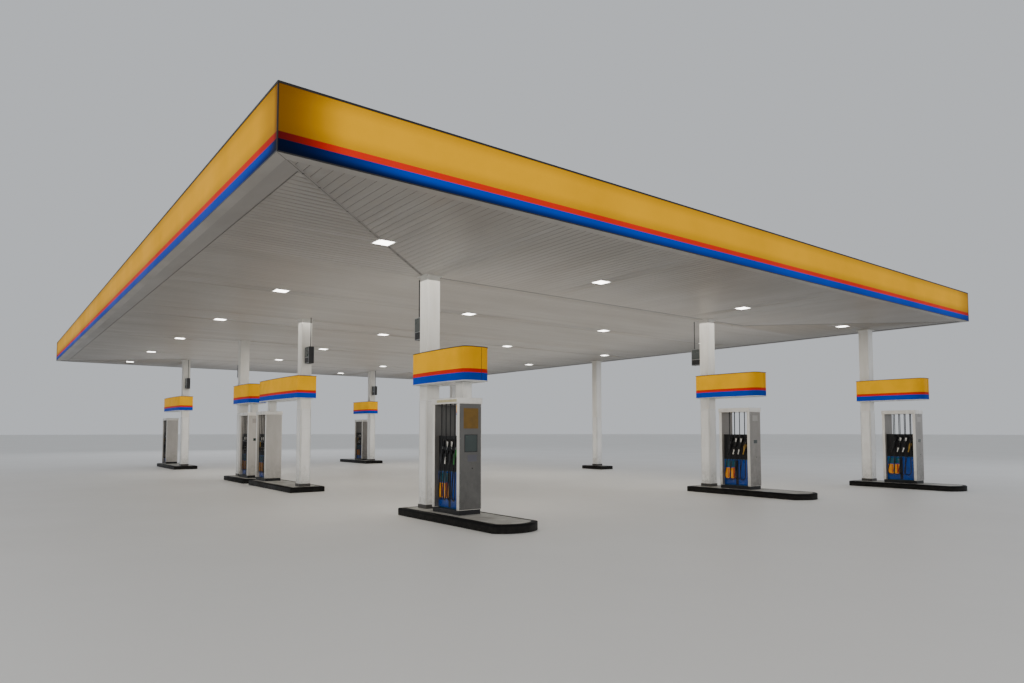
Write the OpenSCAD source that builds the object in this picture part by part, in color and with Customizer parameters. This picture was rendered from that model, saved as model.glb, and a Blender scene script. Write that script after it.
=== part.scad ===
// Filling station canopy: a flat lit-fascia roof on nine box columns, with pump islands under it.
// Origin on the ground at the middle of the plan. X runs across the front, Y runs front to back.

/* [Canopy plan] */
// Width of the canopy along its front fascia
canopy_w = 20600; // [19000:100:24000]
// Length of the canopy from front to back
canopy_l = 30400; // [28000:100:36000]
// Height of the underside of the fascia above the ground
canopy_z = 5000; // [4700:10:6000]

/* [Fascia] */
// Height of the whole fascia
fascia_h = 860; // [700:10:1200]
// Depth of the fascia light box from its lip to its back
fascia_t = 160; // [130:5:240]
// Thickness of the acrylic faces
face_t = 12; // [8:1:20]
// How far the lips stand proud of the acrylic faces
lip = 6; // [3:1:12]
// Height of the blue band
blue_h = 150; // [100:5:220]
// Height of the red band
red_h = 88; // [50:2:120]
// Height of the dark capping
cap_h = 28; // [15:1:60]
// Height of the pale trim under the bands
trim_h = 20; // [12:1:40]
// Thickness of the folded sheet of the light box
tray_t = 10; // [4:1:20]
// Open joint left at each mitred corner
mitre_gap = 0.6; // [0.4:0.1:3]
// Joint left around pieces that fit into others
joint_gap = 0.4; // [0.3:0.1:0.9]

/* [Soffit] */
// Height of the soffit lining above the underside of the fascia
soffit_lift = 12; // [0:1:40]
// Thickness of the soffit lining
soffit_t = 15; // [10:1:30]
// Depth of the front and rear bands of the lining
band_l = 4600; // [4400:50:4700]
// Width of the plain border along the two long sides
border_w = 600; // [300:20:1000]
// Width of the cover strips over the soffit joints
strip_w = 70; // [40:5:140]
// Thickness of the cover strips
strip_t = 6; // [3:1:10]

/* [Soffit lamps] */
// Number of lamps across the canopy
lamps_x = 4; // [2:1:4]
// Number of lamps from front to back
lamps_y = 6; // [2:1:6]
// Distance of the first lamps from the front and left edges
lamp_first = 2800; // [2400:50:3200]
// Distance of the last lamps from the right edge
lamp_side = 2000; // [1950:50:2200]
// Distance of the last lamps from the rear edge
lamp_rear = 1600; // [1200:50:2600]
// Width of the square lamp housing
lamp_w = 300; // [260:10:320]
// Height of the lamp housing above the lining
lamp_h = 130; // [80:5:170]
// Wall of the lamp housing
lamp_wall = 12; // [6:1:20]
// Width of the lamp frame around the housing
lamp_rim = 24; // [16:1:50]
// Thickness of the lamp frame
lamp_rim_t = 8; // [4:1:10]

/* [Roof steel] */
// Depth of the roof beams
beam_h = 400; // [300:10:500]
// Width of the roof beam flanges
beam_w = 180; // [140:5:260]
// Thickness of the beam flanges
beam_flange = 18; // [12:1:28]
// Thickness of the beam webs
beam_web = 12; // [8:1:20]
// Clear height from the lining underside to the beams
beam_lift = 190; // [185:5:320]
// Height of the purlins
purlin_h = 90; // [70:5:140]
// Width of the purlin flanges
purlin_w = 60; // [50:5:90]
// Wall of the purlins
purlin_t = 6; // [4:1:10]
// Largest distance between purlins
purlin_pitch_max = 1700; // [1200:50:2000]

/* [Roof deck] */
// Thickness of the insulated deck panel between its ribs
deck_t = 30; // [20:2:60]
// Height of the deck ribs
rib_h = 24; // [16:1:40]
// Width of a rib at its foot
rib_foot = 70; // [50:2:100]
// Width of a rib at its crown
rib_crown = 30; // [20:2:44]
// Largest distance between ribs
rib_pitch_max = 350; // [250:10:500]
// Width of the box gutters along the long sides
gutter_w = 220; // [160:10:320]
// Wall of the gutters
gutter_t = 6; // [3:1:10]
// Leg of the fascia stay angles
stay_leg = 70; // [50:5:90]
// Thickness of the fascia stays
stay_t = 8; // [5:1:12]
// Largest distance between fascia stays
stay_pitch_max = 2600; // [1800:100:4000]

/* [Columns] */
// Width of the square columns
col_w = 300; // [240:10:400]
// Distance of the left column line from the left edge
col_left = 4800; // [4200:50:5400]
// Distance of the middle column line from the left edge
col_middle = 14200; // [13400:50:14600]
// Distance of the right column line from the right edge
col_right = 520; // [510:10:700]
// Distance of the front column row from the front edge
col_first = 4600; // [4400:50:4700]
// Distance of the front inner column before the middle of the canopy
inner_front = 3470; // [3440:10:3500]
// Distance of the rear inner column behind the middle of the canopy
inner_rear = 2500; // [2470:10:2530]
// Distance of the last column row from the rear edge
col_last = 3750; // [3740:10:3900]
// Distance of the right end columns from the front and rear edges
col_corner = 2800; // [2800:50:3400]
// Width of the collar plate beyond the column at the soffit
collar_rim = 50; // [30:5:80]
// Thickness of the collar plates
collar_t = 20; // [12:1:30]
// Thickness of the white boards on the lower columns
board_t = 8; // [4:1:14]
// Height of the boards
board_h = 2160; // [1900:10:2300]
// Bare edge of the column beside a board
board_edge = 14; // [8:1:30]
// Thickness of the skirting around the column feet
skirt_t = 14; // [6:1:24]
// Height of the skirting around the column feet
skirt_h = 80; // [50:5:160]

/* [Islands] */
// Height of the islands
island_h = 150; // [100:5:200]
// Width of the pump islands
island_w = 1000; // [900:10:1020]
// Reach of the island past the column axis at the square end
island_tail = 400; // [300:10:520]
// Reach of an island from the column axis to the tip of its nose
island_nose = 3200; // [3000:10:3300]
// Reach of the right corner islands
corner_nose = 2750; // [2600:10:2790]
// Reach of the rear inner island
short_nose = 2100; // [2050:10:2120]
// Reach of the islands whose pump stands far from its column
long_nose = 3700; // [3660:10:3720]
// How far the curved nose stands out
nose_bulge = 250; // [120:10:400]
// Width of the kerb
kerb_w = 110; // [80:5:150]
// Depth of the recess that holds the paving
paving_t = 50; // [30:5:90]
// Length of the small island under the middle right column
small_l = 1300; // [900:20:1800]
// Width of the small island
small_w = 700; // [600:10:900]

/* [Pumps] */
// Distance from the column axis to the pump axis
pump_off = 1050; // [1000:10:1080]
// Distance from the column axis to the axis of a far pump
far_off = 3070; // [3040:10:3090]
// Length of a pump along its island
pump_l = 980; // [970:10:1000]
// Width of a pump across its island
pump_w = 520; // [510:10:560]
// Height of a pump above the island
pump_h = 2230; // [2150:10:2400]
// Thickness of the pump end panels
panel_t = 85; // [60:5:90]
// Height of the black pump plinth
plinth_h = 90; // [60:5:140]
// Inset of the plinth under the panels
plinth_in = 15; // [5:1:30]
// Height of the pump header
header_h = 110; // [90:5:160]
// How far the header stands out over the panels
header_out = 12; // [0:1:20]
// Height of the blue cabinet above the plinth
cabinet_h = 720; // [640:10:760]
// Inset of the cabinet behind the pump faces
cabinet_in = 100; // [100:1:108]
// Height of the black nozzle bay above the cabinet
bay_h = 690; // [680:5:760]
// Inset of the nozzle bay behind the pump faces
bay_in = 110; // [108:2:130]

/* [Nozzles and hoses] */
// Distance between nozzles along a pump face
nozzle_pitch = 160; // [157:1:163]
// How far the row of nozzles stands toward the near end of its pump
nozzle_shift = 6.5; // [6:0.5:7]
// Distance from the pump face to the middle of the nozzles
nozzle_in = 43; // [42:0.5:44]
// Height of the nozzle ends above the cabinet
nozzle_lift = 110; // [90:5:130]
// Length of a nozzle body from its swivel to its spout
nozzle_l = 330; // [300:5:345]
// Thickness of a nozzle body
nozzle_t = 34; // [28:1:38]
// Radius of the hose swivel on a nozzle
swivel_r = 14; // [12.5:0.5:16]
// Radius of a nozzle spout
spout_r = 11; // [8:0.5:13]
// Length of a nozzle spout
spout_l = 130; // [100:5:140]
// Width of a nozzle boot
boot_w = 80; // [70:2:96]
// Height of a nozzle boot
boot_h = 150; // [130:5:160]
// Radius of the hoses
hose_r = 11; // [8:0.5:12]
// Radius of the bend at the bottom of a hose
hose_bend = 120; // [110:1:121]
// Height of the bottom of the hoses above the cabinet foot
hose_drop = 150; // [100:10:220]
// Distance from a nozzle to the place where its hose rises
hose_side = 100; // [98:1:106]
// Distance from the pump face to the rising hoses
hose_in = 12; // [11:0.5:13]
// Length of the glands under the header
gland_l = 40; // [20:2:60]
// Radius of the glands
gland_r = 14; // [12.5:0.5:16]

/* [Bay signs] */
// Height of the sign underside above the ground
sign_z = 2690; // [2600:10:2900]
// Length of the signs
sign_l = 2000; // [1900:10:2100]
// Length of the signs over a far pump
long_sign_l = 3500; // [3400:10:3600]
// Width of the signs at their ends
sign_end_w = 560; // [480:10:640]
// How far each long face bows out
sign_bow = 55; // [20:5:90]
// Radius of the sign corners over the pump
sign_r = 230; // [180:5:250]
// Radius of the sign corners behind the column
sign_tail_r = 90; // [60:5:120]
// Distance from the column axis to the near end of the sign
sign_tail = 210; // [200:5:300]
// Height of the sign base plate
sign_base_h = 16; // [8:1:30]
// Height of the blue sign band
sign_blue_h = 145; // [100:5:200]
// Height of the red sign band
sign_red_h = 75; // [50:5:100]
// Height of the yellow sign face
sign_yellow_h = 410; // [300:10:500]
// Height of the sign top cap
sign_cap_h = 16; // [8:1:30]
// How far the base plate and the cap stand proud
sign_lip = 8; // [4:1:16]
// Width of the stub post between pump and sign
stub_w = 200; // [140:10:240]
// Depth of the stub post along the pump
stub_depth = 260; // [180:10:300]
// Distance from the near end of the sign to the axis of the stub post
stub_in = 490; // [450:10:540]

/* [Hanging boxes] */
// Height of the underside of the hanging boxes above the ground
hang_z = 3690; // [3600:10:3800]
// Height of the hanging boxes
hang_h = 480; // [420:10:520]
// Length of the hanging boxes
hang_l = 320; // [260:10:400]
// Thickness of the hanging boxes
hang_w = 150; // [110:5:200]
// Gap between the box and its column
hang_gap = 40; // [25:5:80]
// Radius of the hanging rod
rod_r = 12; // [8:1:18]
// Width of the bracket between box and column
bracket_w = 60; // [40:5:90]
// Height of the bracket
bracket_h = 90; // [50:5:160]

/* [Hidden] */
fine = 48;
overlap = 1;
yellow = "#f5b400";
red = "#c4302b";
blue = "#1243a0";
white = "#e9e9e6";
pale = "#d8dadb";
dark = "#2b2c2e";
black = "#161617";
zinc = "#a9aeb1";
concrete = "#8d8d88";
lit = "#fffdf2";

half_w = canopy_w / 2;
half_l = canopy_l / 2;
canopy_top = canopy_z + fascia_h;
trim_z = canopy_z;
blue_z = trim_z + trim_h;
red_z = blue_z + blue_h;
yellow_z = red_z + red_h;
cap_z = canopy_top - cap_h;
tray_h = cap_z - blue_z;
in_w = half_w - fascia_t;
in_l = half_l - fascia_t;

soffit_z = canopy_z + soffit_lift;
band_y = half_l - band_l;
mitre_x = in_w - (in_l - band_y);
beam_z = soffit_z + beam_lift;
purlin_z = beam_z + beam_h;
deck_z = purlin_z + purlin_h;

x_left = -half_w + col_left;
x_middle = -half_w + col_middle;
x_right = half_w - col_right;
y_first = col_first - half_l;
y_last = half_l - col_last;
y_corner = half_l - col_corner;
column_rows = [y_first, -inner_front, inner_rear, y_last];

// Each place is X, Y, the turn that points its pump (0 to the front, 180 to the rear),
// the distance to its pump, the reach of its island and the length of its sign.
left_places = [
    [x_left, y_first, 0, pump_off, island_nose, sign_l],
    [x_left, -inner_front, 180, far_off, long_nose, long_sign_l],
    [x_left, inner_rear, 0, pump_off, short_nose, sign_l],
    [x_left, y_last, 180, far_off, long_nose, long_sign_l]
];
middle_places = [
    [x_middle, y_first, 0, pump_off, island_nose, sign_l],
    [x_middle, y_last, 180, pump_off, island_nose, sign_l]
];
right_places = [
    [x_right, -y_corner, 0, pump_off, corner_nose, sign_l],
    [x_right, y_corner, 180, pump_off, corner_nose, sign_l]
];
small_places = [[x_right, 0, 0]];
pump_places = concat(left_places, middle_places, right_places);
all_places = concat(pump_places, small_places);
box_places = concat(left_places, middle_places);
stub_places = [left_places[0], left_places[1], left_places[2]];

pump_top = island_h + pump_h;
cabinet_z = island_h + plinth_h;
panel_top = pump_top - header_h;
bay_z = cabinet_z + cabinet_h;
bay_w = pump_w - 2 * bay_in;
nozzle_z = bay_z + nozzle_lift;
gland_z = panel_top - gland_l;

// A hose lies in an upright plane that turns it out, past its nozzle and its neighbour.
// It leaves the nozzle on a slant, goes round its bottom bend and rises straight to its gland.
hose_turn = asin((nozzle_in - hose_in) / hose_side);
bend_side = hose_side - hose_bend;
bend_z = cabinet_z + hose_drop + hose_r + hose_bend;
bend_away = norm([bend_side, nozzle_z - bend_z]);
lean = atan(-bend_side / (nozzle_z - bend_z)) + asin(hose_bend / bend_away);
slant_l = sqrt(bend_away * bend_away - hose_bend * hose_bend);

sign_blue_z = sign_z + sign_base_h;
sign_red_z = sign_blue_z + sign_blue_h;
sign_yellow_z = sign_red_z + sign_red_h;
sign_cap_z = sign_yellow_z + sign_yellow_h;
hang_y = col_w / 2 + hang_gap + hang_l / 2;
rod_y = hang_y + hang_l / 2 - bracket_w;

// A straight bar whose ends are cut at 45 degrees, with its outer face on the X axis
module mitred_bar(length, depth, height) {
    reach = length / 2 - mitre_gap / 2;
    linear_extrude(height)
        polygon([[-reach, 0], [reach, 0], [reach - depth, depth], [-reach + depth, depth]]);
}

// One side of the canopy: 0 front, 1 right, 2 rear, 3 left
module side_bar(side, inset, depth, z, height) {
    along = (side % 2 == 0) ? canopy_w : canopy_l;
    out = (side % 2 == 0) ? half_l : half_w;
    rotate(90 * side)
        translate([0, inset - out, z])
            mitred_bar(along - 2 * inset, depth, height);
}

module at(places) {
    for (place = places)
        translate([place[0], place[1], 0])
            rotate(place[2])
                children();
}

module centred_box(size_x, size_y, height) {
    translate([-size_x / 2, -size_y / 2, 0])
        cube([size_x, size_y, height]);
}

module square_ring(outer, inner, height) {
    linear_extrude(height)
        difference() {
            square(outer, center = true);
            square(inner, center = true);
        }
}

module fascia_face(side) {
    color(yellow)
        side_bar(side, lip, face_t, yellow_z, cap_z - yellow_z);
}

module fascia_front() {
    fascia_face(0);
}

module fascia_right() {
    fascia_face(1);
}

module fascia_rear() {
    fascia_face(2);
}

module fascia_left() {
    fascia_face(3);
}

module fascia_red_bands() {
    color(red)
        for (side = [0 : 3])
            side_bar(side, lip, face_t, red_z, red_h);
}

module fascia_blue_bands() {
    color(blue)
        for (side = [0 : 3])
            side_bar(side, lip, face_t, blue_z, blue_h);
}

module fascia_caps() {
    color(dark)
        for (side = [0 : 3])
            side_bar(side, 0, fascia_t, cap_z, cap_h);
}

module fascia_trims() {
    color(pale)
        for (side = [0 : 3])
            side_bar(side, 0, fascia_t, trim_z, trim_h);
}

// Folded trays behind the acrylic: back, top and bottom, open to the front
module fascia_trays() {
    front = lip + face_t;
    color(zinc)
        for (side = [0 : 3])
            difference() {
                side_bar(side, front, fascia_t - front, blue_z, tray_h);
                side_bar(side, front - overlap, fascia_t - front - tray_t + overlap,
                    blue_z + tray_t, tray_h - 2 * tray_t);
            }
}

// Angle stays that hold the fascia back to the deck inside the parapet
module stay() {
    deck_top = deck_z + deck_t + rib_h;
    reach = cap_z - deck_top;
    translate([-stay_leg / 2, 0, 0]) {
        cube([stay_leg, stay_leg, stay_t]);
        cube([stay_leg, stay_t, reach]);
    }
    translate([-stay_t / 2, 0, 0])
        rotate([90, 0, 90])
            linear_extrude(stay_t)
                polygon([[0, 0], [stay_leg, 0], [stay_leg, stay_t], [stay_t, reach], [0, reach]]);
}

module fascia_stays() {
    deck_top = deck_z + deck_t + rib_h;
    long_count = ceil(2 * in_w / stay_pitch_max);
    step = 2 * in_w / long_count;
    color(zinc)
        for (end = [0, 180])
            rotate(end)
                for (i = [1 : long_count - 1])
                    translate([-in_w + i * step, -in_l, deck_top])
                        stay();
}

module lamp_grid() {
    step_x = (canopy_w - lamp_first - lamp_side) / (lamps_x - 1);
    step_y = (canopy_l - lamp_first - lamp_rear) / (lamps_y - 1);
    for (i = [0 : lamps_x - 1])
        for (j = [0 : lamps_y - 1])
            translate([-half_w + lamp_first + i * step_x, -half_l + lamp_first + j * step_y])
                children();
}

// Everything that passes through the lining: lamps and columns
module soffit_holes() {
    lamp_grid()
        square(lamp_w, center = true);
    for (place = all_places)
        translate([place[0], place[1]])
            square(col_w, center = true);
}

module soffit_sheet(points) {
    translate([0, 0, soffit_z])
        linear_extrude(soffit_t)
            difference() {
                polygon(points);
                soffit_holes();
            }
}

module soffit_field() {
    color(white)
        soffit_sheet([
            [-in_w + border_w, -in_l + border_w], [-mitre_x, -band_y], [mitre_x, -band_y],
            [in_w - border_w, -in_l + border_w], [in_w - border_w, in_l - border_w], [mitre_x, band_y],
            [-mitre_x, band_y], [-in_w + border_w, in_l - border_w]
        ]);
}

module soffit_end() {
    soffit_sheet([[-in_w, -in_l], [in_w, -in_l], [mitre_x, -band_y], [-mitre_x, -band_y]]);
}

module soffit_front() {
    color(white)
        soffit_end();
}

module soffit_rear() {
    color(white)
        soffit_sheet([[in_w, in_l], [-in_w, in_l], [-mitre_x, band_y], [mitre_x, band_y]]);
}

module soffit_borders() {
    color(white)
        for (side = [-1, 1])
            soffit_sheet([
                [side * in_w, -in_l], [side * in_w, in_l],
                [side * (in_w - border_w), in_l - border_w], [side * (in_w - border_w), -in_l + border_w]
            ]);
}

// Cover strips over the mitres and over the joint between the field and each band
module end_strips() {
    half = strip_w / 2;
    skew = half * sqrt(2);
    for (side = [-1, 1])
        polygon([
            [side * in_w, -in_l], [side * (in_w - skew), -in_l],
            [side * (mitre_x - skew), -band_y], [side * mitre_x, -band_y + skew],
            [side * in_w, -in_l + skew]
        ]);
    translate([-mitre_x, -band_y - half])
        square([2 * mitre_x, strip_w]);
}

module soffit_strips() {
    color(white)
        translate([0, 0, soffit_z - strip_t])
            linear_extrude(strip_t)
                difference() {
                    for (end = [0, 1])
                        mirror([0, end, 0])
                            end_strips();
                    for (place = all_places)
                        translate([place[0], place[1]])
                            square(col_w + 2 * collar_rim, center = true);
                    lamp_grid()
                        square(lamp_w + 2 * lamp_rim, center = true);
                }
}

module lamp_housings() {
    color(pale)
        lamp_grid()
            translate([0, 0, soffit_z])
                difference() {
                    centred_box(lamp_w, lamp_w, lamp_h);
                    translate([0, 0, -overlap])
                        centred_box(lamp_w - 2 * lamp_wall, lamp_w - 2 * lamp_wall, lamp_h - lamp_wall + overlap);
                }
}

module lamp_frames() {
    color(white)
        lamp_grid()
            translate([0, 0, soffit_z - lamp_rim_t])
                square_ring(lamp_w + 2 * lamp_rim, lamp_w - lamp_wall, lamp_rim_t);
}

module lamp_lenses() {
    color(lit)
        lamp_grid()
            translate([0, 0, soffit_z - lamp_rim_t])
                centred_box(lamp_w - lamp_wall - 2 * joint_gap, lamp_w - lamp_wall - 2 * joint_gap, lamp_rim_t);
}

module i_section(length) {
    rotate([90, 0, 0])
        linear_extrude(length, center = true)
            difference() {
                translate([-beam_w / 2, 0])
                    square([beam_w, beam_h]);
                for (side = [-1, 1])
                    translate([side * (beam_w + beam_web) / 4 - (beam_w - beam_web) / 4, beam_flange])
                        translate([side > 0 ? 0 : -overlap, 0])
                            square([(beam_w - beam_web) / 2 + overlap, beam_h - 2 * beam_flange]);
            }
}

// Welded grid of roof beams: three along the canopy and four across it
module roof_beams() {
    color(zinc)
        translate([0, 0, beam_z])
            union() {
                for (x = [x_left, x_middle, x_right])
                    translate([x, 0, 0])
                        i_section(2 * in_l);
                for (y = column_rows)
                    translate([0, y, 0])
                        rotate(90)
                            i_section(2 * in_w);
            }
}

module roof_purlins() {
    span = 2 * (in_w - gutter_w - joint_gap) - purlin_w;
    count = ceil(span / purlin_pitch_max);
    color(zinc)
        for (i = [0 : count])
            translate([-span / 2 + i * span / count - purlin_w / 2, -in_l, purlin_z])
                difference() {
                    cube([purlin_w, 2 * in_l, purlin_h]);
                    translate([purlin_t, -overlap, purlin_t])
                        cube([purlin_w, 2 * in_l + 2 * overlap, purlin_h - 2 * purlin_t]);
                }
}

// Insulated panel with trapezoid ribs that run across to the side gutters
module roof_deck() {
    count = ceil(2 * in_l / rib_pitch_max);
    step = 2 * in_l / count;
    crown_z = deck_t + rib_h;
    ribs = [
        for (i = [0 : count - 1])
            let (y = in_l - (i + 0.5) * step)
                each [[y + rib_foot / 2, deck_t], [y + rib_crown / 2, crown_z],
                    [y - rib_crown / 2, crown_z], [y - rib_foot / 2, deck_t]]
    ];
    deck_w = 2 * (in_w - gutter_w);
    color(zinc)
        translate([-deck_w / 2, 0, deck_z])
            rotate([90, 0, 90])
                linear_extrude(deck_w)
                    polygon(concat([[-in_l, 0], [in_l, 0], [in_l, deck_t]], ribs, [[-in_l, deck_t]]));
}

module roof_gutters() {
    gutter_h = purlin_h + deck_t;
    color(zinc)
        for (side = [0, 180])
            rotate(side)
                translate([-in_w, -in_l, purlin_z])
                    difference() {
                        cube([gutter_w, 2 * in_l, gutter_h]);
                        translate([gutter_t, gutter_t, gutter_t])
                            cube([gutter_w - 2 * gutter_t, 2 * in_l - 2 * gutter_t, gutter_h]);
                    }
}

module columns(places) {
    color(white)
        at(places)
            translate([0, 0, island_h])
                centred_box(col_w, col_w, beam_z - island_h);
}

module columns_left() {
    columns(left_places);
}

module columns_middle() {
    columns(middle_places);
}

module columns_right() {
    columns(concat(right_places, small_places));
}

module column_collars() {
    color(white)
        at(all_places)
            translate([0, 0, soffit_z - collar_t])
                square_ring(col_w + 2 * collar_rim, col_w, collar_t);
}

// White boards on the four faces of each column, from the skirting up
module column_boards() {
    color(white)
        at(all_places)
            for (turn = [0 : 90 : 270])
                rotate(turn)
                    translate([0, -(col_w + board_t) / 2, island_h + skirt_h])
                        centred_box(col_w - 2 * board_edge, board_t, board_h);
}

module column_skirts() {
    color(dark)
        at(all_places)
            translate([0, 0, island_h])
                square_ring(col_w + 2 * skirt_t, col_w, skirt_h);
}

// Plan of a pump island drawn in by a margin: square behind the column, bowed at the nose
module island_plan(nose, margin) {
    half = island_w / 2;
    nose_r = (half * half + nose_bulge * nose_bulge) / (2 * nose_bulge);
    intersection() {
        translate([-half + margin, -nose + margin])
            square([island_w - 2 * margin, nose + island_tail - 2 * margin]);
        union() {
            translate([0, nose_r - nose])
                circle(nose_r - margin, $fn = 4 * fine);
            translate([-half, nose_r - nose])
                square([island_w, nose + island_tail]);
        }
    }
}

module small_plan(margin) {
    square([small_w - 2 * margin, small_l - 2 * margin], center = true);
}

module kerb() {
    difference() {
        linear_extrude(island_h)
            children(0);
        translate([0, 0, island_h - paving_t])
            linear_extrude(paving_t + overlap)
                children(1);
    }
}

module island_kerbs() {
    color(black) {
        for (place = pump_places)
            at([place])
                kerb() {
                    island_plan(place[4], 0);
                    island_plan(place[4], kerb_w);
                }
        at(small_places)
            kerb() {
                small_plan(0);
                small_plan(kerb_w);
            }
    }
}

module island_paving() {
    color(concrete)
        translate([0, 0, island_h - paving_t]) {
            for (place = pump_places)
                at([place])
                    linear_extrude(paving_t)
                        island_plan(place[4], kerb_w + joint_gap);
            at(small_places)
                linear_extrude(paving_t)
                    small_plan(kerb_w + joint_gap);
        }
}

module at_pump(z) {
    for (place = pump_places)
        at([place])
            translate([0, -place[3], z])
                children();
}

module pump_plinths() {
    color(black)
        at_pump(island_h)
            centred_box(pump_w - 2 * plinth_in, pump_l - 2 * plinth_in, plinth_h);
}

module pump_end_panels() {
    color(white)
        at_pump(cabinet_z)
            for (side = [-1, 1])
                translate([0, side * (pump_l - panel_t) / 2, 0])
                    centred_box(pump_w, panel_t, panel_top - cabinet_z);
}

module pump_headers() {
    color(white)
        at_pump(panel_top)
            centred_box(pump_w + 2 * header_out, pump_l + 2 * header_out, header_h);
}

module pump_cabinets() {
    color(blue)
        at_pump(cabinet_z)
            centred_box(pump_w - 2 * cabinet_in, pump_l - 2 * panel_t, cabinet_h);
}

// Black housing between the end panels, open above, that the boots stand on
module nozzle_bays() {
    color(black)
        at_pump(bay_z)
            centred_box(bay_w, pump_l - 2 * panel_t, bay_h);
}

// Children are placed at the swivel of each nozzle, on both faces
module at_nozzles() {
    at_pump(nozzle_z)
        for (face = [0, 180])
            rotate(face)
                for (i = [0 : 3])
                    translate([pump_w / 2 - nozzle_in, (i - 1.5) * nozzle_pitch - nozzle_shift, 0])
                        children();
}

// A rest behind the nozzle body, and a hood on the bay that takes the spout
module boot() {
    back = nozzle_in - bay_in;
    fit = spout_r / 4;
    reach = spout_r + 2 * fit;
    hood_z = nozzle_l + spout_l + fit - boot_h / 2;
    rest_w = boot_w / 2;
    rest_h = nozzle_l / 6;
    slope = boot_h / 3;
    translate([back, -rest_w / 2, nozzle_l - 1.5 * rest_h])
        cube([-back - nozzle_t / 2, rest_w, rest_h]);
    difference() {
        translate([0, boot_w / 2, hood_z])
            rotate([90, 0, 0])
                linear_extrude(boot_w)
                    polygon([[back, 0], [reach, 0], [reach, boot_h - slope], [back, boot_h]]);
        translate([-spout_r - fit, -spout_r - fit, hood_z - overlap])
            cube([2 * (spout_r + fit), 2 * (spout_r + fit), boot_h / 2 + overlap]);
    }
}

module nozzle_boots() {
    color(black)
        at_nozzles()
            rotate([-lean, 0, 0])
                boot();
}

// Side outline of a nozzle, drawn for a length of 1: grip, body, and the guard around the lever
module nozzle_outline() {
    difference() {
        polygon([
            [-0.04, 0.11], [0.04, 0.11], [0.08, 0.45], [0.12, 0.62], [0.13, 0.9], [0.08, 1],
            [-0.04, 1], [-0.08, 0.72], [-0.18, 0.68], [-0.21, 0.61], [-0.18, 0.27], [-0.13, 0.16]
        ]);
        polygon([[-0.05, 0.22], [-0.13, 0.26], [-0.16, 0.59], [-0.04, 0.62], [-0.01, 0.54]]);
    }
}

module pump_nozzles() {
    color(black)
        at_nozzles() {
            rotate(-hose_turn)
                rotate([-lean, 0, 0])
                    cylinder(h = nozzle_l / 8, r = swivel_r, $fn = fine);
            rotate([-lean, 0, 0]) {
                rotate([90, 0, 90])
                    linear_extrude(nozzle_t, center = true)
                        scale(nozzle_l)
                            nozzle_outline();
                translate([0, 0, nozzle_l])
                    cylinder(h = spout_l, r = spout_r, $fn = fine);
            }
        }
}

module hose_glands() {
    color(black)
        at_nozzles()
            rotate(-hose_turn)
                translate([0, hose_side, gland_z - nozzle_z])
                    cylinder(h = gland_l, r = gland_r, $fn = fine);
}

module hose() {
    rotate([-lean, 0, 0])
        translate([0, 0, -slant_l])
            cylinder(h = slant_l, r = hose_r, $fn = fine / 2);
    translate([0, bend_side, bend_z - nozzle_z])
        rotate([90, 0, 90])
            rotate(180 - lean)
                rotate_extrude(angle = 180 + lean, $fn = 2 * fine)
                    translate([hose_bend, 0])
                        circle(hose_r, $fn = fine / 2);
    translate([0, hose_side, bend_z - nozzle_z])
        cylinder(h = gland_z - bend_z, r = hose_r, $fn = fine / 2);
}

module pump_hoses() {
    color(black)
        at_nozzles()
            rotate(-hose_turn)
                hose();
}

// Plan of a sign with the hole for its column: bowed long faces, wide corners over the pump
// and tighter ones behind the column
module sign_plan(length, margin) {
    half = length / 2;
    mid_w = sign_end_w + 2 * sign_bow;
    bow_r = (half * half + sign_bow * sign_bow) / (2 * sign_bow);
    plan_w = mid_w + 2 * margin;
    plan_l = length + 2 * margin;
    difference() {
        translate([0, sign_tail - half])
            intersection() {
                for (side = [-1, 1])
                    translate([side * (bow_r - mid_w / 2), 0])
                        circle(bow_r + margin, $fn = 8 * fine);
                union() {
                    rounded_plan(plan_w, plan_l, sign_r + margin);
                    translate([0, plan_l / 4])
                        rounded_plan(plan_w, plan_l / 2, sign_tail_r + margin);
                }
            }
        square(col_w, center = true);
    }
}

module rounded_plan(size_x, size_y, radius) {
    union() {
        square([size_x - 2 * radius, size_y], center = true);
        square([size_x, size_y - 2 * radius], center = true);
        for (sx = [-1, 1])
            for (sy = [-1, 1])
                translate([sx * (size_x / 2 - radius), sy * (size_y / 2 - radius)])
                    circle(radius, $fn = fine);
    }
}

module sign_slice(z, height, margin) {
    for (place = pump_places)
        at([place])
            translate([0, 0, z])
                linear_extrude(height)
                    sign_plan(place[5], margin);
}

module sign_bases() {
    color(white)
        sign_slice(sign_z, sign_base_h, sign_lip);
}

module sign_blue_bands() {
    color(blue)
        sign_slice(sign_blue_z, sign_blue_h, 0);
}

module sign_red_bands() {
    color(red)
        sign_slice(sign_red_z, sign_red_h, 0);
}

module sign_yellow_faces() {
    color(yellow)
        sign_slice(sign_yellow_z, sign_yellow_h, 0);
}

module sign_caps() {
    color(pale)
        sign_slice(sign_cap_z, sign_cap_h, sign_lip);
}

module sign_stub_posts() {
    color(white)
        for (place = stub_places)
            at([place])
                translate([0, sign_tail + stub_in - place[5], pump_top])
                    centred_box(stub_w, stub_depth, sign_z - pump_top);
}

module hanging_boxes() {
    color(dark)
        at(box_places)
            translate([0, hang_y, hang_z])
                centred_box(hang_w, hang_l, hang_h);
}

module hanging_rods() {
    color(dark)
        at(box_places)
            translate([0, rod_y, hang_z + hang_h])
                cylinder(h = soffit_z - hang_z - hang_h, r = rod_r, $fn = fine);
}

module hanging_brackets() {
    color(dark)
        at(box_places)
            translate([0, (col_w + hang_gap) / 2, hang_z + (hang_h - bracket_h) / 2])
                centred_box(bracket_w, hang_gap, bracket_h);
}

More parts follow.
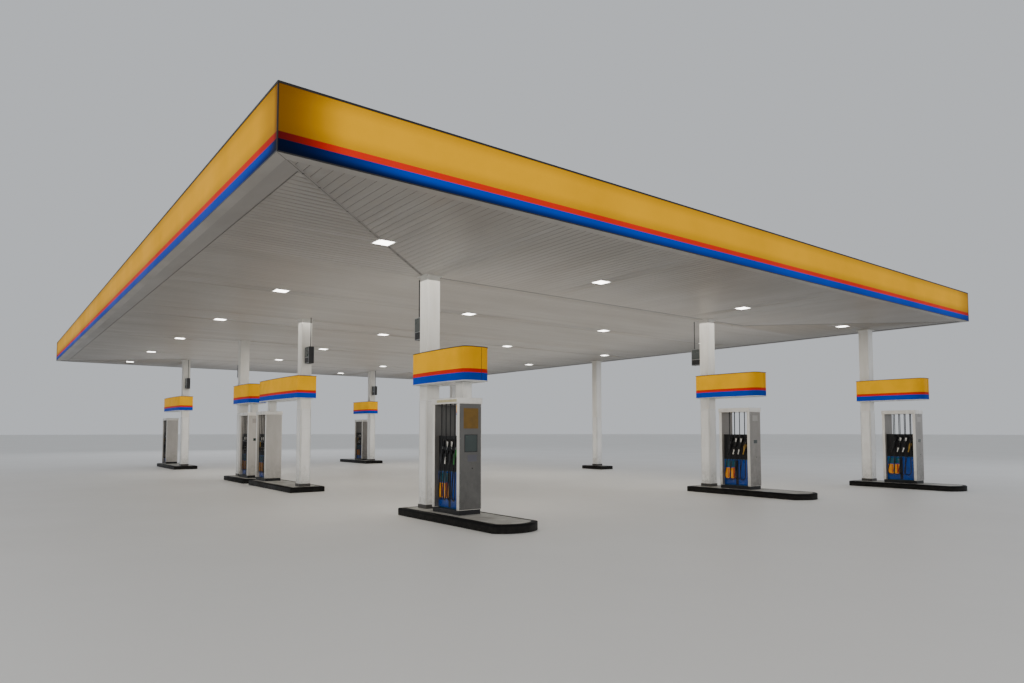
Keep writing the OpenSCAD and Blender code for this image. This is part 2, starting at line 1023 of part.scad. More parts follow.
fascia_front();
fascia_right();
fascia_rear();
fascia_left();
fascia_red_bands();
fascia_blue_bands();
fascia_caps();
fascia_trims();
fascia_trays();
fascia_stays();
soffit_field();
soffit_front();
soffit_rear();
soffit_borders();
soffit_strips();
lamp_housings();
lamp_frames();
lamp_lenses();
roof_beams();
roof_purlins();
roof_deck();
roof_gutters();
columns_left();
columns_middle();
columns_right();
column_collars();
column_boards();
column_skirts();
island_kerbs();
island_paving();
pump_plinths();
pump_cabinets();
pump_end_panels();
pump_headers();
nozzle_bays();
nozzle_boots();
pump_nozzles();
hose_glands();
pump_hoses();
sign_bases();
sign_blue_bands();
sign_red_bands();
sign_yellow_faces();
sign_caps();
sign_stub_posts();
hanging_boxes();
hanging_rods();
hanging_brackets();
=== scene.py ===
"""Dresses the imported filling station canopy: finishes, hoses, soffit lining, pump gear, signs and roof fixings."""

import logging
import math
from collections.abc import Callable, Iterable, Sequence
from dataclasses import dataclass
from enum import Enum

import bmesh
import bpy
from mathutils import Matrix, Vector


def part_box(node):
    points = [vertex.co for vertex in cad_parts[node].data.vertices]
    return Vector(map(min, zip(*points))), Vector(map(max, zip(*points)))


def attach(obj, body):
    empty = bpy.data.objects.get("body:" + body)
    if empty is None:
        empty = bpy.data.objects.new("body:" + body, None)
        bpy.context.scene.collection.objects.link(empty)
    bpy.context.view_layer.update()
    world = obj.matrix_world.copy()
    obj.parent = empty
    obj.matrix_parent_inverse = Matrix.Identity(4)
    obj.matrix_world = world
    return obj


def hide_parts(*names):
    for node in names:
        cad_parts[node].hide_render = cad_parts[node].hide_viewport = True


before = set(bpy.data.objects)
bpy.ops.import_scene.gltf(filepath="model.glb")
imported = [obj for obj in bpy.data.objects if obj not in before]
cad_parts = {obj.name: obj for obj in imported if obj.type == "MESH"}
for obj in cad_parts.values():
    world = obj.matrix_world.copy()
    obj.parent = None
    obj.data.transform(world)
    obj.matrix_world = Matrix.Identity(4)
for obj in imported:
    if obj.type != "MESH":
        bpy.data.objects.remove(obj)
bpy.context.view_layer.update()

LOG = logging.getLogger("canopy")
IDENTITY = Matrix.Identity(4)
SIDES = (-1, 1)
CORNERS = tuple((x, y) for x in SIDES for y in SIDES)
BUILT: dict[str, bpy.types.Material] = {}
# What a noise texture gives at most places.
NOISE_RANGE = (0.38, 0.68)

Point = tuple[float, float, float]
Outline = Sequence[tuple[float, float]]
Piece = bpy.types.Object
Node = bpy.types.Node
Outputs = bpy.types.NodeOutputs
Socket = bpy.types.NodeSocket
Tree = bpy.types.NodeTree


# ---------------------------------------------------------------- sizes


def spin(degrees: float, axis: str = "Z") -> Matrix:
    """Returns a turn about one axis."""
    return Matrix.Rotation(math.radians(degrees), 4, axis)


@dataclass(frozen=True)
class Place:
    """A column with its island, pump and sign. Turn is 0 where they reach to the front and 180 where to the rear."""

    x: float
    y: float
    turn: float
    pump: float = 1.05
    nose: float = 3.2
    sign: float = 2.0

    def matrix(self, along: float = 0.0) -> Matrix:
        """Returns the place's own frame, moved along the island."""
        return Matrix.Translation((self.x, self.y, 0.0)) @ spin(self.turn) @ Matrix.Translation((0.0, along, 0.0))


@dataclass(frozen=True)
class Layout:
    """Sizes of the canopy that several sub-assemblies share, in metres."""

    half_w: float = 10.3
    half_l: float = 15.2
    inner_w: float = 10.14
    inner_l: float = 15.04
    left_x: float = -5.5
    middle_x: float = 3.9
    right_x: float = 9.78
    first_y: float = -10.6
    second_y: float = -3.47
    third_y: float = 2.5
    last_y: float = 11.45
    corner_y: float = 12.4
    band_y: float = 10.6
    column_w: float = 0.3
    lamp_first: float = 2.8
    lamp_side: float = 2.0
    lamp_rear: float = 1.6
    lamps_across: int = 4
    lamps_deep: int = 6

    @property
    def left(self) -> list[Place]:
        """The left line, from front to back. Two of its pumps stand far from their columns.

        Returns:
            Its four places.
        """
        far = {"turn": 180, "pump": 3.07, "nose": 3.7, "sign": 3.5}
        return [
            Place(self.left_x, self.first_y, 0),
            Place(self.left_x, self.second_y, **far),
            Place(self.left_x, self.third_y, 0, nose=2.1),
            Place(self.left_x, self.last_y, **far),
        ]

    @property
    def middle(self) -> list[Place]:
        """The middle line."""
        return [Place(self.middle_x, self.first_y, 0), Place(self.middle_x, self.last_y, 180)]

    @property
    def right(self) -> list[Place]:
        """The right line, without its small island."""
        return [Place(self.right_x, side * self.corner_y, turn, nose=2.75) for side, turn in zip(SIDES, (0, 180))]

    @property
    def pumps(self) -> list[Place]:
        """Every place with a pump and a sign."""
        return self.left + self.middle + self.right

    @property
    def columns(self) -> list[Place]:
        """Every place with a column."""
        return self.pumps + [Place(self.right_x, 0.0, 0)]

    @property
    def lamps(self) -> list[tuple[float, float]]:
        """Middles of the recessed lamps.

        Returns:
            X and Y of each lamp.
        """
        first = self.lamp_first
        step_x = (2 * self.half_w - first - self.lamp_side) / (self.lamps_across - 1)
        step_y = (2 * self.half_l - first - self.lamp_rear) / (self.lamps_deep - 1)
        return [
            (-self.half_w + first + i * step_x, -self.half_l + first + j * step_y)
            for i in range(self.lamps_across)
            for j in range(self.lamps_deep)
        ]


LAYOUT = Layout()


# ---------------------------------------------------------------- finishes


def linear(hex_colour: str) -> tuple[float, float, float, float]:
    """Turns an sRGB hex value into a linear colour.

    Args:
        hex_colour: such as "#f5b400".

    Returns:
        Red, green, blue and alpha, linear.
    """
    parts = [int(hex_colour[i : i + 2], 16) / 255 for i in (1, 3, 5)]
    red, green, blue = (c / 12.92 if c <= 0.04045 else ((c + 0.055) / 1.055) ** 2.4 for c in parts)
    return red, green, blue, 1.0


def add_node(tree: Tree, kind: str, inputs: dict | None = None, **settings: object) -> Node:
    """Adds one node with its settings and links.

    Args:
        tree: the shader or geometry tree.
        kind: the node's type.
        inputs: socket name or number to a value, or to the output socket that feeds it.
        settings: the node's own properties.

    Returns:
        The new node.
    """
    node = tree.nodes.new(kind)
    for key, value in settings.items():
        setattr(node, key, value)
    for key, value in (inputs or {}).items():
        if isinstance(value, Socket):
            tree.links.new(value, node.inputs[key])
        else:
            node.inputs[key].default_value = value
    return node


@dataclass(frozen=True)
class Finish:
    """A real material: two close colours in soft patches, a fine grain in relief, and splashed dirt near the ground."""

    name: str
    colour: str
    shade: str
    roughness: float
    metallic: float = 0.0
    coat: float = 0.0
    patch_mm: float = 700.0
    patch: float = 0.5
    stretch: Point = (1.0, 1.0, 1.0)
    grain_mm: float = 5.0
    grain: float = 0.06
    grime: str = "#5d574d"
    grime_top: float = 0.0
    grime_mm: float = 1000 / 9
    grime_most: float = 0.85
    specular: float = 0.5
    uneven: float = 0.12
    coat_roughness: float = 0.12

    def material(self) -> bpy.types.Material:
        """Builds the material the first time it is asked for.

        Returns:
            The material.
        """
        if self.name not in BUILT:
            material = bpy.data.materials.new(self.name)
            material.use_nodes = True
            tree = material.node_tree
            tree.nodes.clear()
            place = add_node(tree, "ShaderNodeTexCoord").outputs["Object"]
            colour = self.soiled(tree, place, self.tinted(tree, place))
            shader = self.shader(tree, place, colour)
            add_node(tree, "ShaderNodeOutputMaterial", {"Surface": shader.outputs[0]})
            BUILT[self.name] = material
        return BUILT[self.name]

    def patches(self, tree: Tree, place: Socket) -> Socket:
        """Adds the soft patches.

        Args:
            tree: the material's node tree.
            place: Object coordinates.

        Returns:
            A field from 0 to 1, with patches of the stated size.
        """
        stretched = add_node(tree, "ShaderNodeMapping", {"Vector": place, "Scale": self.stretch}).outputs[0]
        cloud = {"Vector": stretched, "Scale": 1000 / self.patch_mm, "Detail": 5.0, "Roughness": 0.6}
        noise = add_node(tree, "ShaderNodeTexNoise", cloud).outputs[0]
        spread = {"Value": noise, "From Min": NOISE_RANGE[0], "From Max": NOISE_RANGE[1]}
        return add_node(tree, "ShaderNodeMapRange", spread).outputs[0]

    def tinted(self, tree: Tree, place: Socket) -> Socket:
        """Mixes the clean colour from the two colours of the finish.

        Args:
            tree: the material's node tree.
            place: Object coordinates.

        Returns:
            The clean colour.
        """
        amount = add_node(tree, "ShaderNodeMath", {0: self.patches(tree, place), 1: self.patch}, operation="MULTIPLY")
        mix = {0: amount.outputs[0], 6: linear(self.colour), 7: linear(self.shade)}
        return add_node(tree, "ShaderNodeMix", mix, data_type="RGBA").outputs[2]

    def soiled(self, tree: Tree, place: Socket, colour: Socket) -> Socket:
        """Adds splashed dirt that fades out upwards, where the finish has any.

        Args:
            tree: the material's node tree.
            place: Object coordinates.
            colour: the clean colour.

        Returns:
            The soiled colour.
        """
        if not self.grime_top:
            return colour
        height = add_node(tree, "ShaderNodeSeparateXYZ", {0: place}).outputs["Z"]
        fade = {"Value": height, "From Min": 0.1, "From Max": self.grime_top, "To Min": 1.0, "To Max": 0.0}
        low = add_node(tree, "ShaderNodeMapRange", fade).outputs[0]
        splashes = {"Vector": place, "Scale": 1000 / self.grime_mm, "Detail": 8.0, "Roughness": 0.75}
        spots = add_node(tree, "ShaderNodeTexNoise", splashes).outputs[0]
        spread = {"Value": spots, "From Min": 0.35, "From Max": 0.75, "To Max": self.grime_most}
        patchy = add_node(tree, "ShaderNodeMapRange", spread).outputs[0]
        amount = add_node(tree, "ShaderNodeMath", {0: low, 1: patchy}, operation="MULTIPLY").outputs[0]
        mix = {0: amount, 6: colour, 7: linear(self.grime)}
        return add_node(tree, "ShaderNodeMix", mix, data_type="RGBA").outputs[2]

    def relief(self, tree: Tree, place: Socket) -> Socket:
        """Adds the grain of the surface.

        Args:
            tree: the material's node tree.
            place: Object coordinates.

        Returns:
            The normal.
        """
        stretched = add_node(tree, "ShaderNodeMapping", {"Vector": place, "Scale": self.stretch}).outputs[0]
        fine = {"Vector": stretched, "Scale": 1000 / self.grain_mm, "Detail": 3.0}
        grain = add_node(tree, "ShaderNodeTexNoise", fine).outputs[0]
        return add_node(tree, "ShaderNodeBump", {"Height": grain, "Strength": self.grain, "Distance": 0.002}).outputs[0]

    def shader(self, tree: Tree, place: Socket, colour: Socket) -> Node:
        """Adds the surface shader.

        Args:
            tree: the material's node tree.
            place: Object coordinates.
            colour: the surface's colour.

        Returns:
            The shader node.
        """
        least, most = self.roughness * (1 - self.uneven), self.roughness * (1 + self.uneven)
        worn = {"Value": self.patches(tree, place), "To Min": least, "To Max": most}
        surface = {
            "Base Color": colour,
            "Metallic": self.metallic,
            "Roughness": add_node(tree, "ShaderNodeMapRange", worn).outputs[0],
            "Specular IOR Level": self.specular,
            "Coat Weight": self.coat,
            "Coat Roughness": self.coat_roughness,
            "Normal": self.relief(tree, place),
        }
        return add_node(tree, "ShaderNodeBsdfPrincipled", surface)


class Along(Enum):
    """One of the two axes in plan."""

    X = "X"
    Y = "Y"


@dataclass(frozen=True)
class StripCoat(Finish):
    """Coated metal strip lining. Each board has a slightly different tone, and painted shade darkens the canopy's open
    edges.
    """

    counted: Along = Along.Y
    pitch: float = 0.15
    tone: float = 0.25
    # Painted shade: its colour, its share at the edge, and the way from the edge over which it fades.
    painted_edge_shade: str = "#5e5953"
    painted_edge_shade_share: float = 0.62
    painted_edge_shade_start: float = 0.3
    painted_edge_shade_reach: float = 4.8

    def tinted(self, tree: Tree, place: Socket) -> Socket:
        """Mixes the patchy colour, lighter or darker from board to board, with painted shade at the edges.

        Args:
            tree: the material's node tree.
            place: Object coordinates.

        Returns:
            The boards' colour.
        """
        part = add_node(tree, "ShaderNodeSeparateXYZ", {0: place}).outputs[self.counted.value]
        number = add_node(tree, "ShaderNodeMath", {0: part, 1: self.pitch}, operation="DIVIDE").outputs[0]
        whole = add_node(tree, "ShaderNodeMath", {0: number}, operation="FLOOR").outputs[0]
        chance = add_node(tree, "ShaderNodeTexWhiteNoise", {"W": whole}, noise_dimensions="1D").outputs["Value"]
        tone = add_node(tree, "ShaderNodeMath", {0: chance, 1: self.tone}, operation="MULTIPLY").outputs[0]
        mix = {0: tone, 6: super().tinted(tree, place), 7: linear(self.shade)}
        boards = add_node(tree, "ShaderNodeMix", mix, data_type="RGBA").outputs[2]
        return self.edge_shaded(tree, place, boards)

    def edge_shaded(self, tree: Tree, place: Socket, boards: Socket) -> Socket:
        """Paints shade on the boards, darkest at the canopy's edges.

        Args:
            tree: the material's node tree.
            place: Object coordinates.
            boards: the clean boards' colour.

        Returns:
            The boards' colour with the painted shade.
        """
        split = add_node(tree, "ShaderNodeSeparateXYZ", {0: place}).outputs
        ways = []
        for axis, half in (("X", LAYOUT.half_w), ("Y", LAYOUT.half_l)):
            size = add_node(tree, "ShaderNodeMath", {0: split[axis]}, operation="ABSOLUTE").outputs[0]
            ways.append(add_node(tree, "ShaderNodeMath", {0: half, 1: size}, operation="SUBTRACT").outputs[0])
        way = add_node(tree, "ShaderNodeMath", {0: ways[0], 1: ways[1]}, operation="MINIMUM").outputs[0]
        fall = {"Value": way, "From Min": self.painted_edge_shade_start, "From Max": self.painted_edge_shade_reach}
        fall |= {"To Min": self.painted_edge_shade_share, "To Max": 0.0}
        share = add_node(tree, "ShaderNodeMapRange", fall, interpolation_type="SMOOTHSTEP").outputs[0]
        mix = {0: share, 6: boards, 7: linear(self.painted_edge_shade)}
        return add_node(tree, "ShaderNodeMix", mix, data_type="RGBA").outputs[2]


@dataclass(frozen=True)
class EdgeCoat(Finish):
    """Coated metal trim that is painted another colour on its upright faces."""

    edge: str = "#1b1a1a"

    def tinted(self, tree: Tree, place: Socket) -> Socket:
        """Mixes the patchy colour of the underside with the edge colour of upright faces.

        Args:
            tree: the material's node tree.
            place: Object coordinates.

        Returns:
            The trim's colour.
        """
        facing = add_node(tree, "ShaderNodeNewGeometry").outputs["True Normal"]
        down = add_node(tree, "ShaderNodeSeparateXYZ", {0: facing}).outputs["Z"]
        upright = add_node(tree, "ShaderNodeMath", {0: down, 1: -0.5}, operation="GREATER_THAN").outputs[0]
        mix = {0: upright, 6: super().tinted(tree, place), 7: linear(self.edge)}
        return add_node(tree, "ShaderNodeMix", mix, data_type="RGBA").outputs[2]


@dataclass(frozen=True)
class LitAcrylic(Finish):
    """Opal acrylic lit from behind. The light falls off at the corners, and painted shade darkens the front beside the
    left corner.
    """

    glow: float = 0.5
    clouds: float = 0.18
    # Painted shade beside the front left corner.
    near_painted_shade: float = 0.14
    near_shade_reach: float = 1.0
    side_gain: float = 6.0
    corner_dark: float = 0.62
    corner_reach: float = 0.9
    edge_fall: float = 0.0
    tubes_z: float = 5.55
    tubes_half: float = 0.1
    face_half: float = 0.3
    # Painted shade along the band's lower edge, darkest on the first metres of the front; none where the first of these
    # is 1.
    low_painted_shade: float = 1.0
    low_end_painted_shade: float = 0.8
    low_reach: float = 12.0
    low_z: tuple[float, float] = (5.02, 5.13)
    specular: float = 0.04

    def level(self, tree: Tree, place: Socket) -> Socket:
        """Works out the share of full light from the way along the fascia to its corners, with painted shade beside the
        front left corner and along the lower edge.

        Args:
            tree: the material's node tree.
            place: Object coordinates.

        Returns:
            The share, from 0 to 1.
        """
        split = add_node(tree, "ShaderNodeSeparateXYZ", {0: place}).outputs
        ways, sides = [], []
        for axis, half in (("X", LAYOUT.half_w), ("Y", LAYOUT.half_l)):
            ways.append(add_node(tree, "ShaderNodeMath", {0: split[axis], 1: half}, operation="ADD").outputs[0])
            size = add_node(tree, "ShaderNodeMath", {0: split[axis]}, operation="ABSOLUTE").outputs[0]
            sides.append(add_node(tree, "ShaderNodeMath", {0: half, 1: size}, operation="SUBTRACT").outputs[0])
        # Painted shade beside the front left corner: on the left side only the Y way counts. Its gain gives full light
        # from 0.2 or 0.4 m past the corner.
        aside = add_node(tree, "ShaderNodeMath", {0: ways[1], 1: self.side_gain}, operation="MULTIPLY").outputs[0]
        near = add_node(tree, "ShaderNodeMath", {0: ways[0], 1: aside}, operation="ADD").outputs[0]
        corner = add_node(tree, "ShaderNodeMath", {0: sides[0], 1: sides[1]}, operation="ADD").outputs[0]
        falls = []
        # The first fall is painted shade beside the front left corner; the second is the light's fall-off at all
        # corners.
        for way, far, dark in ((near, self.near_shade_reach, self.near_painted_shade), (corner, self.corner_reach, self.corner_dark)):
            fall = {"Value": way, "From Min": 0.0, "From Max": far, "To Min": dark, "To Max": 1.0}
            falls.append(add_node(tree, "ShaderNodeMapRange", fall, interpolation_type="SMOOTHSTEP").outputs[0])
        level = add_node(tree, "ShaderNodeMath", {0: falls[0], 1: falls[1]}, operation="MULTIPLY").outputs[0]
        if self.edge_fall:
            level = self.faded_edges(tree, split["Z"], level)
        if self.low_painted_shade < 1.0:
            level = self.painted_foot_shade(tree, split["Z"], near, level)
        return level

    def faded_edges(self, tree: Tree, height: Socket, level: Socket) -> Socket:
        """Takes light from the face's upper and lower edges, because the tubes run along its middle.

        Args:
            tree: the material's node tree.
            height: height of the point.
            level: the share of light before.

        Returns:
            The share of light.
        """
        off = add_node(tree, "ShaderNodeMath", {0: height, 1: self.tubes_z}, operation="SUBTRACT").outputs[0]
        far = add_node(tree, "ShaderNodeMath", {0: off}, operation="ABSOLUTE").outputs[0]
        fall = {"Value": far, "From Min": self.tubes_half, "From Max": self.face_half}
        fall |= {"To Min": 1.0, "To Max": 1.0 - self.edge_fall}
        rows = add_node(tree, "ShaderNodeMapRange", fall, interpolation_type="SMOOTHSTEP").outputs[0]
        return add_node(tree, "ShaderNodeMath", {0: level, 1: rows}, operation="MULTIPLY").outputs[0]

    def painted_foot_shade(self, tree: Tree, height: Socket, near: Socket, level: Socket) -> Socket:
        """Paints shade along the band's lower edge, darkest on the first metres of the front.

        Args:
            tree: the material's node tree.
            height: height of the point.
            near: way from the front left corner.
            level: the share of light before.

        Returns:
            The share of light.
        """
        run = {"Value": near, "From Min": 1.0, "From Max": self.low_reach}
        run |= {"To Min": self.low_painted_shade, "To Max": self.low_end_painted_shade}
        along = add_node(tree, "ShaderNodeMapRange", run).outputs[0]
        rise = {"Value": height, "From Min": self.low_z[0], "From Max": self.low_z[1], "To Min": along, "To Max": 1.0}
        foot = add_node(tree, "ShaderNodeMapRange", rise, interpolation_type="SMOOTHSTEP").outputs[0]
        return add_node(tree, "ShaderNodeMath", {0: level, 1: foot}, operation="MULTIPLY").outputs[0]

    def shader(self, tree: Tree, place: Socket, colour: Socket) -> Node:
        """Adds the surface shader with the light that comes through.

        Args:
            tree: the material's node tree.
            place: Object coordinates.
            colour: the fully lit colour.

        Returns:
            The shader node.
        """
        surface = super().shader(tree, place, colour)
        level = self.level(tree, place)
        cloudy = {"Value": self.patches(tree, place), "To Min": self.glow, "To Max": self.glow * (1 - self.clouds)}
        light = add_node(tree, "ShaderNodeMapRange", cloudy).outputs[0]
        strength = add_node(tree, "ShaderNodeMath", {0: level, 1: light}, operation="MULTIPLY").outputs[0]
        # A low level also turns the base colour to the shade colour, so the painted shade darkens the reflected colour
        # as well.
        dimmed = {0: level, 6: linear(self.shade), 7: colour}
        base = add_node(tree, "ShaderNodeMix", dimmed, data_type="RGBA").outputs[2]
        tree.links.new(base, surface.inputs["Base Color"])
        tree.links.new(base, surface.inputs["Emission Color"])
        tree.links.new(strength, surface.inputs["Emission Strength"])
        return surface


@dataclass(frozen=True)
class LitSign(LitAcrylic):
    """Opal acrylic of a small sign, whose mesh says in its attribute how much light each point gets, painted shade
    included.
    """

    def level(self, tree: Tree, place: Socket) -> Socket:
        """Returns the share of full light stored on the mesh."""
        return add_node(tree, "ShaderNodeAttribute", attribute_name="glow").outputs["Fac"]


@dataclass(frozen=True)
class LampLens(Finish):
    """Frosted prismatic acrylic over a lamp: a grid of small prisms that glows almost white."""

    glow: float = 12.0
    prism_mm: float = 14.0
    prism_dark: float = 0.3

    def shader(self, tree: Tree, place: Socket, colour: Socket) -> Node:
        """Adds the glowing surface with its prisms.

        Args:
            tree: the material's node tree.
            place: Object coordinates.
            colour: the colour of the light.

        Returns:
            The shader node.
        """
        surface = super().shader(tree, place, colour)
        grid = {"Vector": place, "Scale": 1000 / self.prism_mm, "Randomness": 0.0}
        cells = add_node(tree, "ShaderNodeTexVoronoi", grid).outputs["Distance"]
        fall = {"Value": cells, "From Max": 0.7, "To Min": self.glow, "To Max": self.glow * (1 - self.prism_dark)}
        strength = add_node(tree, "ShaderNodeMapRange", fall).outputs[0]
        tree.links.new(colour, surface.inputs["Emission Color"])
        tree.links.new(strength, surface.inputs["Emission Strength"])
        return surface


# Opal acrylic sheet, cast and butted: even, glossy, and it carries the colour of its film.
FASCIA = {"roughness": 0.5, "patch_mm": 1900, "grain_mm": 60, "grain": 0.02}
FASCIA_YELLOW = LitAcrylic("opal_acrylic_yellow", "#c08b00", "#6b4310", patch=0.05, glow=0.8, edge_fall=0.24, **FASCIA)
FASCIA_RED = LitAcrylic("opal_acrylic_red", "#c02414", "#3c0a10", patch=0.08, glow=0.45, **FASCIA)
FASCIA_BLUE = LitAcrylic(
    "opal_acrylic_blue",
    "#0438a6",
    "#040a20",
    patch=0.1,
    glow=0.42,
    near_painted_shade=0.02,
    near_shade_reach=2.2,
    low_painted_shade=0.08,
    **FASCIA,
)
SIGN = {"roughness": 0.5, "patch_mm": 500}
SIGN_YELLOW = LitSign("sign_acrylic_yellow", "#bc8900", "#a06c00", patch=0.04, glow=0.8, **SIGN)
SIGN_RED = LitSign("sign_acrylic_red", "#b82618", "#701418", patch=0.06, glow=0.35, **SIGN)
SIGN_BLUE = LitSign("sign_acrylic_blue", "#0638a0", "#06245c", patch=0.08, glow=0.35, **SIGN)
# Powder coat, sprayed and baked: satin, with a fine orange peel, drawn 3 to 6 mm wide so that it shows.
CAP_COAT = Finish("dark_powder_coat", "#171413", "#221d1a", 0.5, patch_mm=300, grain_mm=3, grain=0.1)
COLUMN_COAT = Finish(
    "column_powder_coat", "#e9e8e4", "#c9c6bd", 0.38, patch_mm=900, stretch=(3, 3, 0.5), grain_mm=6, grime_top=0.7
)
BOARD_COAT = Finish(
    "gloss_coated_sheet", "#f1f1ef", "#dcdad4", 0.2, coat=0.5, patch_mm=700, stretch=(2, 2, 0.7), grime_top=0.9
)
SKIRT_COAT = Finish("skirting_enamel", "#26262a", "#3c3b3c", 0.4, patch_mm=200, grime="#6b655b", grime_top=0.35)
# Aluminium, extruded and satin anodised: fine lines along the bar, drawn 2 mm wide so that they show.
TRIM_METAL = Finish(
    "satin_anodised_aluminium", "#c9cbcc", "#a9abad", 0.32, 1.0, patch_mm=260, stretch=(1, 1, 12), grain_mm=2
)
SIGN_METAL = Finish("sign_edge_aluminium", "#e2e3e2", "#bfc2c4", 0.35, 0.6, patch_mm=200, grain_mm=2)
# Hot-dip zinc on rolled steel: dull grey with spangles a few centimetres across.
ZINC = Finish("galvanised_steel", "#9da3a6", "#7d8487", 0.5, 0.75, patch_mm=45, patch=0.7, grain_mm=9, grain=0.12)
ROOF_ZINC = Finish(
    "weathered_roof_zinc", "#a4a9ab", "#7b7c78", 0.55, 0.6, patch_mm=900, patch=0.8, stretch=(0.5, 1.5, 1), grain_mm=12
)
# Coil-coated strip, roll formed: satin, with faint water marks.
STRIP = {"roughness": 0.42, "patch_mm": 1300, "patch": 0.3, "grain_mm": 8}
LINING_X = StripCoat("coil_coated_strip_field", "#d3cec7", "#b9b3ab", stretch=(0.4, 1.6, 1), specular=0.4, **STRIP)
LINING_Y = StripCoat("coil_coated_strip_ends", "#d1ccc5", "#b7b0a8", stretch=(1.6, 0.4, 1), counted=Along.X, **STRIP)
BORDER_COAT = Finish("coil_coated_border", "#8f8b87", "#7a7671", 0.42, patch_mm=1500, stretch=(1.5, 0.4, 1), grain_mm=8)
TRIM_COAT = EdgeCoat("coil_coated_edge_trim", "#9f9b96", "#87827c", 0.42, patch_mm=1500, grain_mm=8)
SEAM_COAT = Finish("seam_sealed_strip", "#5f5b57", "#4d4946", 0.55, patch_mm=300)
# Dark grey backing sheet: painted shade in the open joints between the boards.
BACKING_PAINTED_SHADE = Finish("primed_backing_sheet", "#64625f", "#4c4a46", 0.7, patch_mm=500)
LAMP_ENAMEL = Finish("lamp_white_enamel", "#f0efeb", "#d9d7d0", 0.3, patch_mm=150, grain_mm=4)
LENS = LampLens("prismatic_lamp_acrylic", "#fffdf6", "#fff4dc", 0.35, patch_mm=300, patch=0.2)
# Concrete, cast and painted or trowelled: matt, pitted, with traffic marks.
KERB_PAINT = Finish(
    "painted_concrete_kerb",
    "#0c0c0d",
    "#171716",
    0.6,
    patch_mm=260,
    patch=0.6,
    grain_mm=7,
    grain=0.4,
    grime="#2e2c29",
    grime_top=0.13,
    specular=0.12,
)
PAVING = Finish(
    "trowelled_concrete", "#aaa8a2", "#7c7a75", 0.55, patch_mm=420, patch=0.8, grain_mm=6, grain=0.5, specular=0.2
)
# Enamelled sheet steel of the pumps: smooth, a little dirty near the ground.
PUMP_WHITE = Finish(
    "pump_enamel_white", "#e6e4df", "#cbc7be", 0.3, coat=0.3, patch_mm=500, stretch=(2, 2, 0.6), grime_top=0.75
)
PANEL = {"patch_mm": 450, "stretch": (2, 2, 0.6)}
# Beige and grey are darker copies of the pale end-panel enamel, as painted shade. Their grime mix reaches 1.9 m high,
# so they grow darker towards the bottom.
PUMP_SHADED_BEIGE = Finish("pump_enamel_beige", "#8f8b86", "#77736d", 0.38, coat=0.2, grime="#3f3c3a", grime_top=1.9, **PANEL)
PUMP_PALE = Finish("pump_enamel_pale", "#bcb8b3", "#a29e98", 0.38, coat=0.2, grime_top=0.9, **PANEL)
PUMP_SHADED_GREY = Finish("pump_enamel_grey", "#605f5d", "#504f4d", 0.4, coat=0.15, grime="#383736", grime_top=1.9, **PANEL)
CABINET = {"roughness": 0.3, "coat": 0.3, "patch": 0.6, "grime": "#23262e", "grime_top": 0.5}
PUMP_BLUE = Finish("pump_enamel_blue", "#0b46a4", "#06306e", patch_mm=260, **CABINET)
PUMP_TEAL = Finish("pump_enamel_teal", "#0d5a70", "#083f50", patch_mm=240, **CABINET)
PUMP_AMBER = Finish("pump_enamel_amber", "#f3a712", "#cf7d10", 0.34, coat=0.2, patch_mm=160, patch=0.6)
PUMP_RED = Finish("pump_enamel_red", "#b8281c", "#8a1a14", 0.34, coat=0.2, patch_mm=160, patch=0.6)
PLATE_OCHRE = Finish("plate_enamel_ochre", "#73550e", "#5d440b", 0.4, coat=0.1, patch_mm=120, patch=0.8)
PLATE_GREY = Finish("plate_enamel_grey", "#595961", "#4f4f55", 0.4, patch_mm=120, patch=0.6)
PLATE_PALE = Finish("plate_enamel_pale", "#a39f9b", "#8e8a86", 0.35, patch_mm=150, patch=0.4)
PLATE_STRAW = Finish("plate_enamel_straw", "#c9bf95", "#b3aa84", 0.4, patch_mm=90, patch=0.8)
# Moulded plastics: spark-eroded texture, drawn 1.5 to 2 mm wide so that it shows, and dull at the grips.
MOULDED_BLACK = Finish("moulded_black_plastic", "#151517", "#262628", 0.5, patch_mm=90, grain_mm=1.6, grain=0.25)
BOX_PLASTIC = Finish("moulded_dark_plastic", "#2b2c2f", "#3b3c3f", 0.48, patch_mm=150, grain_mm=2, grain=0.2)
HOOD_WHITE = Finish("moulded_pale_plastic", "#dcdbd6", "#a9a69e", 0.4, patch_mm=80, patch=0.6, grain_mm=1.6, grain=0.2)
BOX_PANEL = Finish("tinted_box_panel", "#4c5151", "#3e4342", 0.3, patch_mm=200, patch=0.5, grain=0.02)
# Nitrile rubber, extruded and ground smooth: dull black, dusty where it hangs low.
HOSE_RUBBER = Finish(
    "nitrile_hose_rubber", "#141415", "#2a2a2a", 0.48, patch_mm=120, grain_mm=2, grain=0.15, grime_top=0.8
)
# Cast aluminium, tumbled and plated: bright but not mirror-like, with soft dents.
CAST_METAL = Finish("plated_cast_aluminium", "#b9bbbd", "#8f9193", 0.28, 1.0, patch_mm=40, grain_mm=2, grain=0.1)
# Toughened glass, tinted and ground flat: dark, with a sharp gloss.
SCREEN_GLASS = Finish("tinted_screen_glass", "#2c3835", "#1f2927", 0.08, coat=0.8, patch_mm=200, patch=0.3, grain=0.0)
# Painted board: pale and even.
STUDIO_FLOOR = Finish("pale_studio_floor", "#d9d8d5", "#d2d1ce", 0.5, patch_mm=4000, patch=0.3, grain=0.0)


# ---------------------------------------------------------------- making meshes


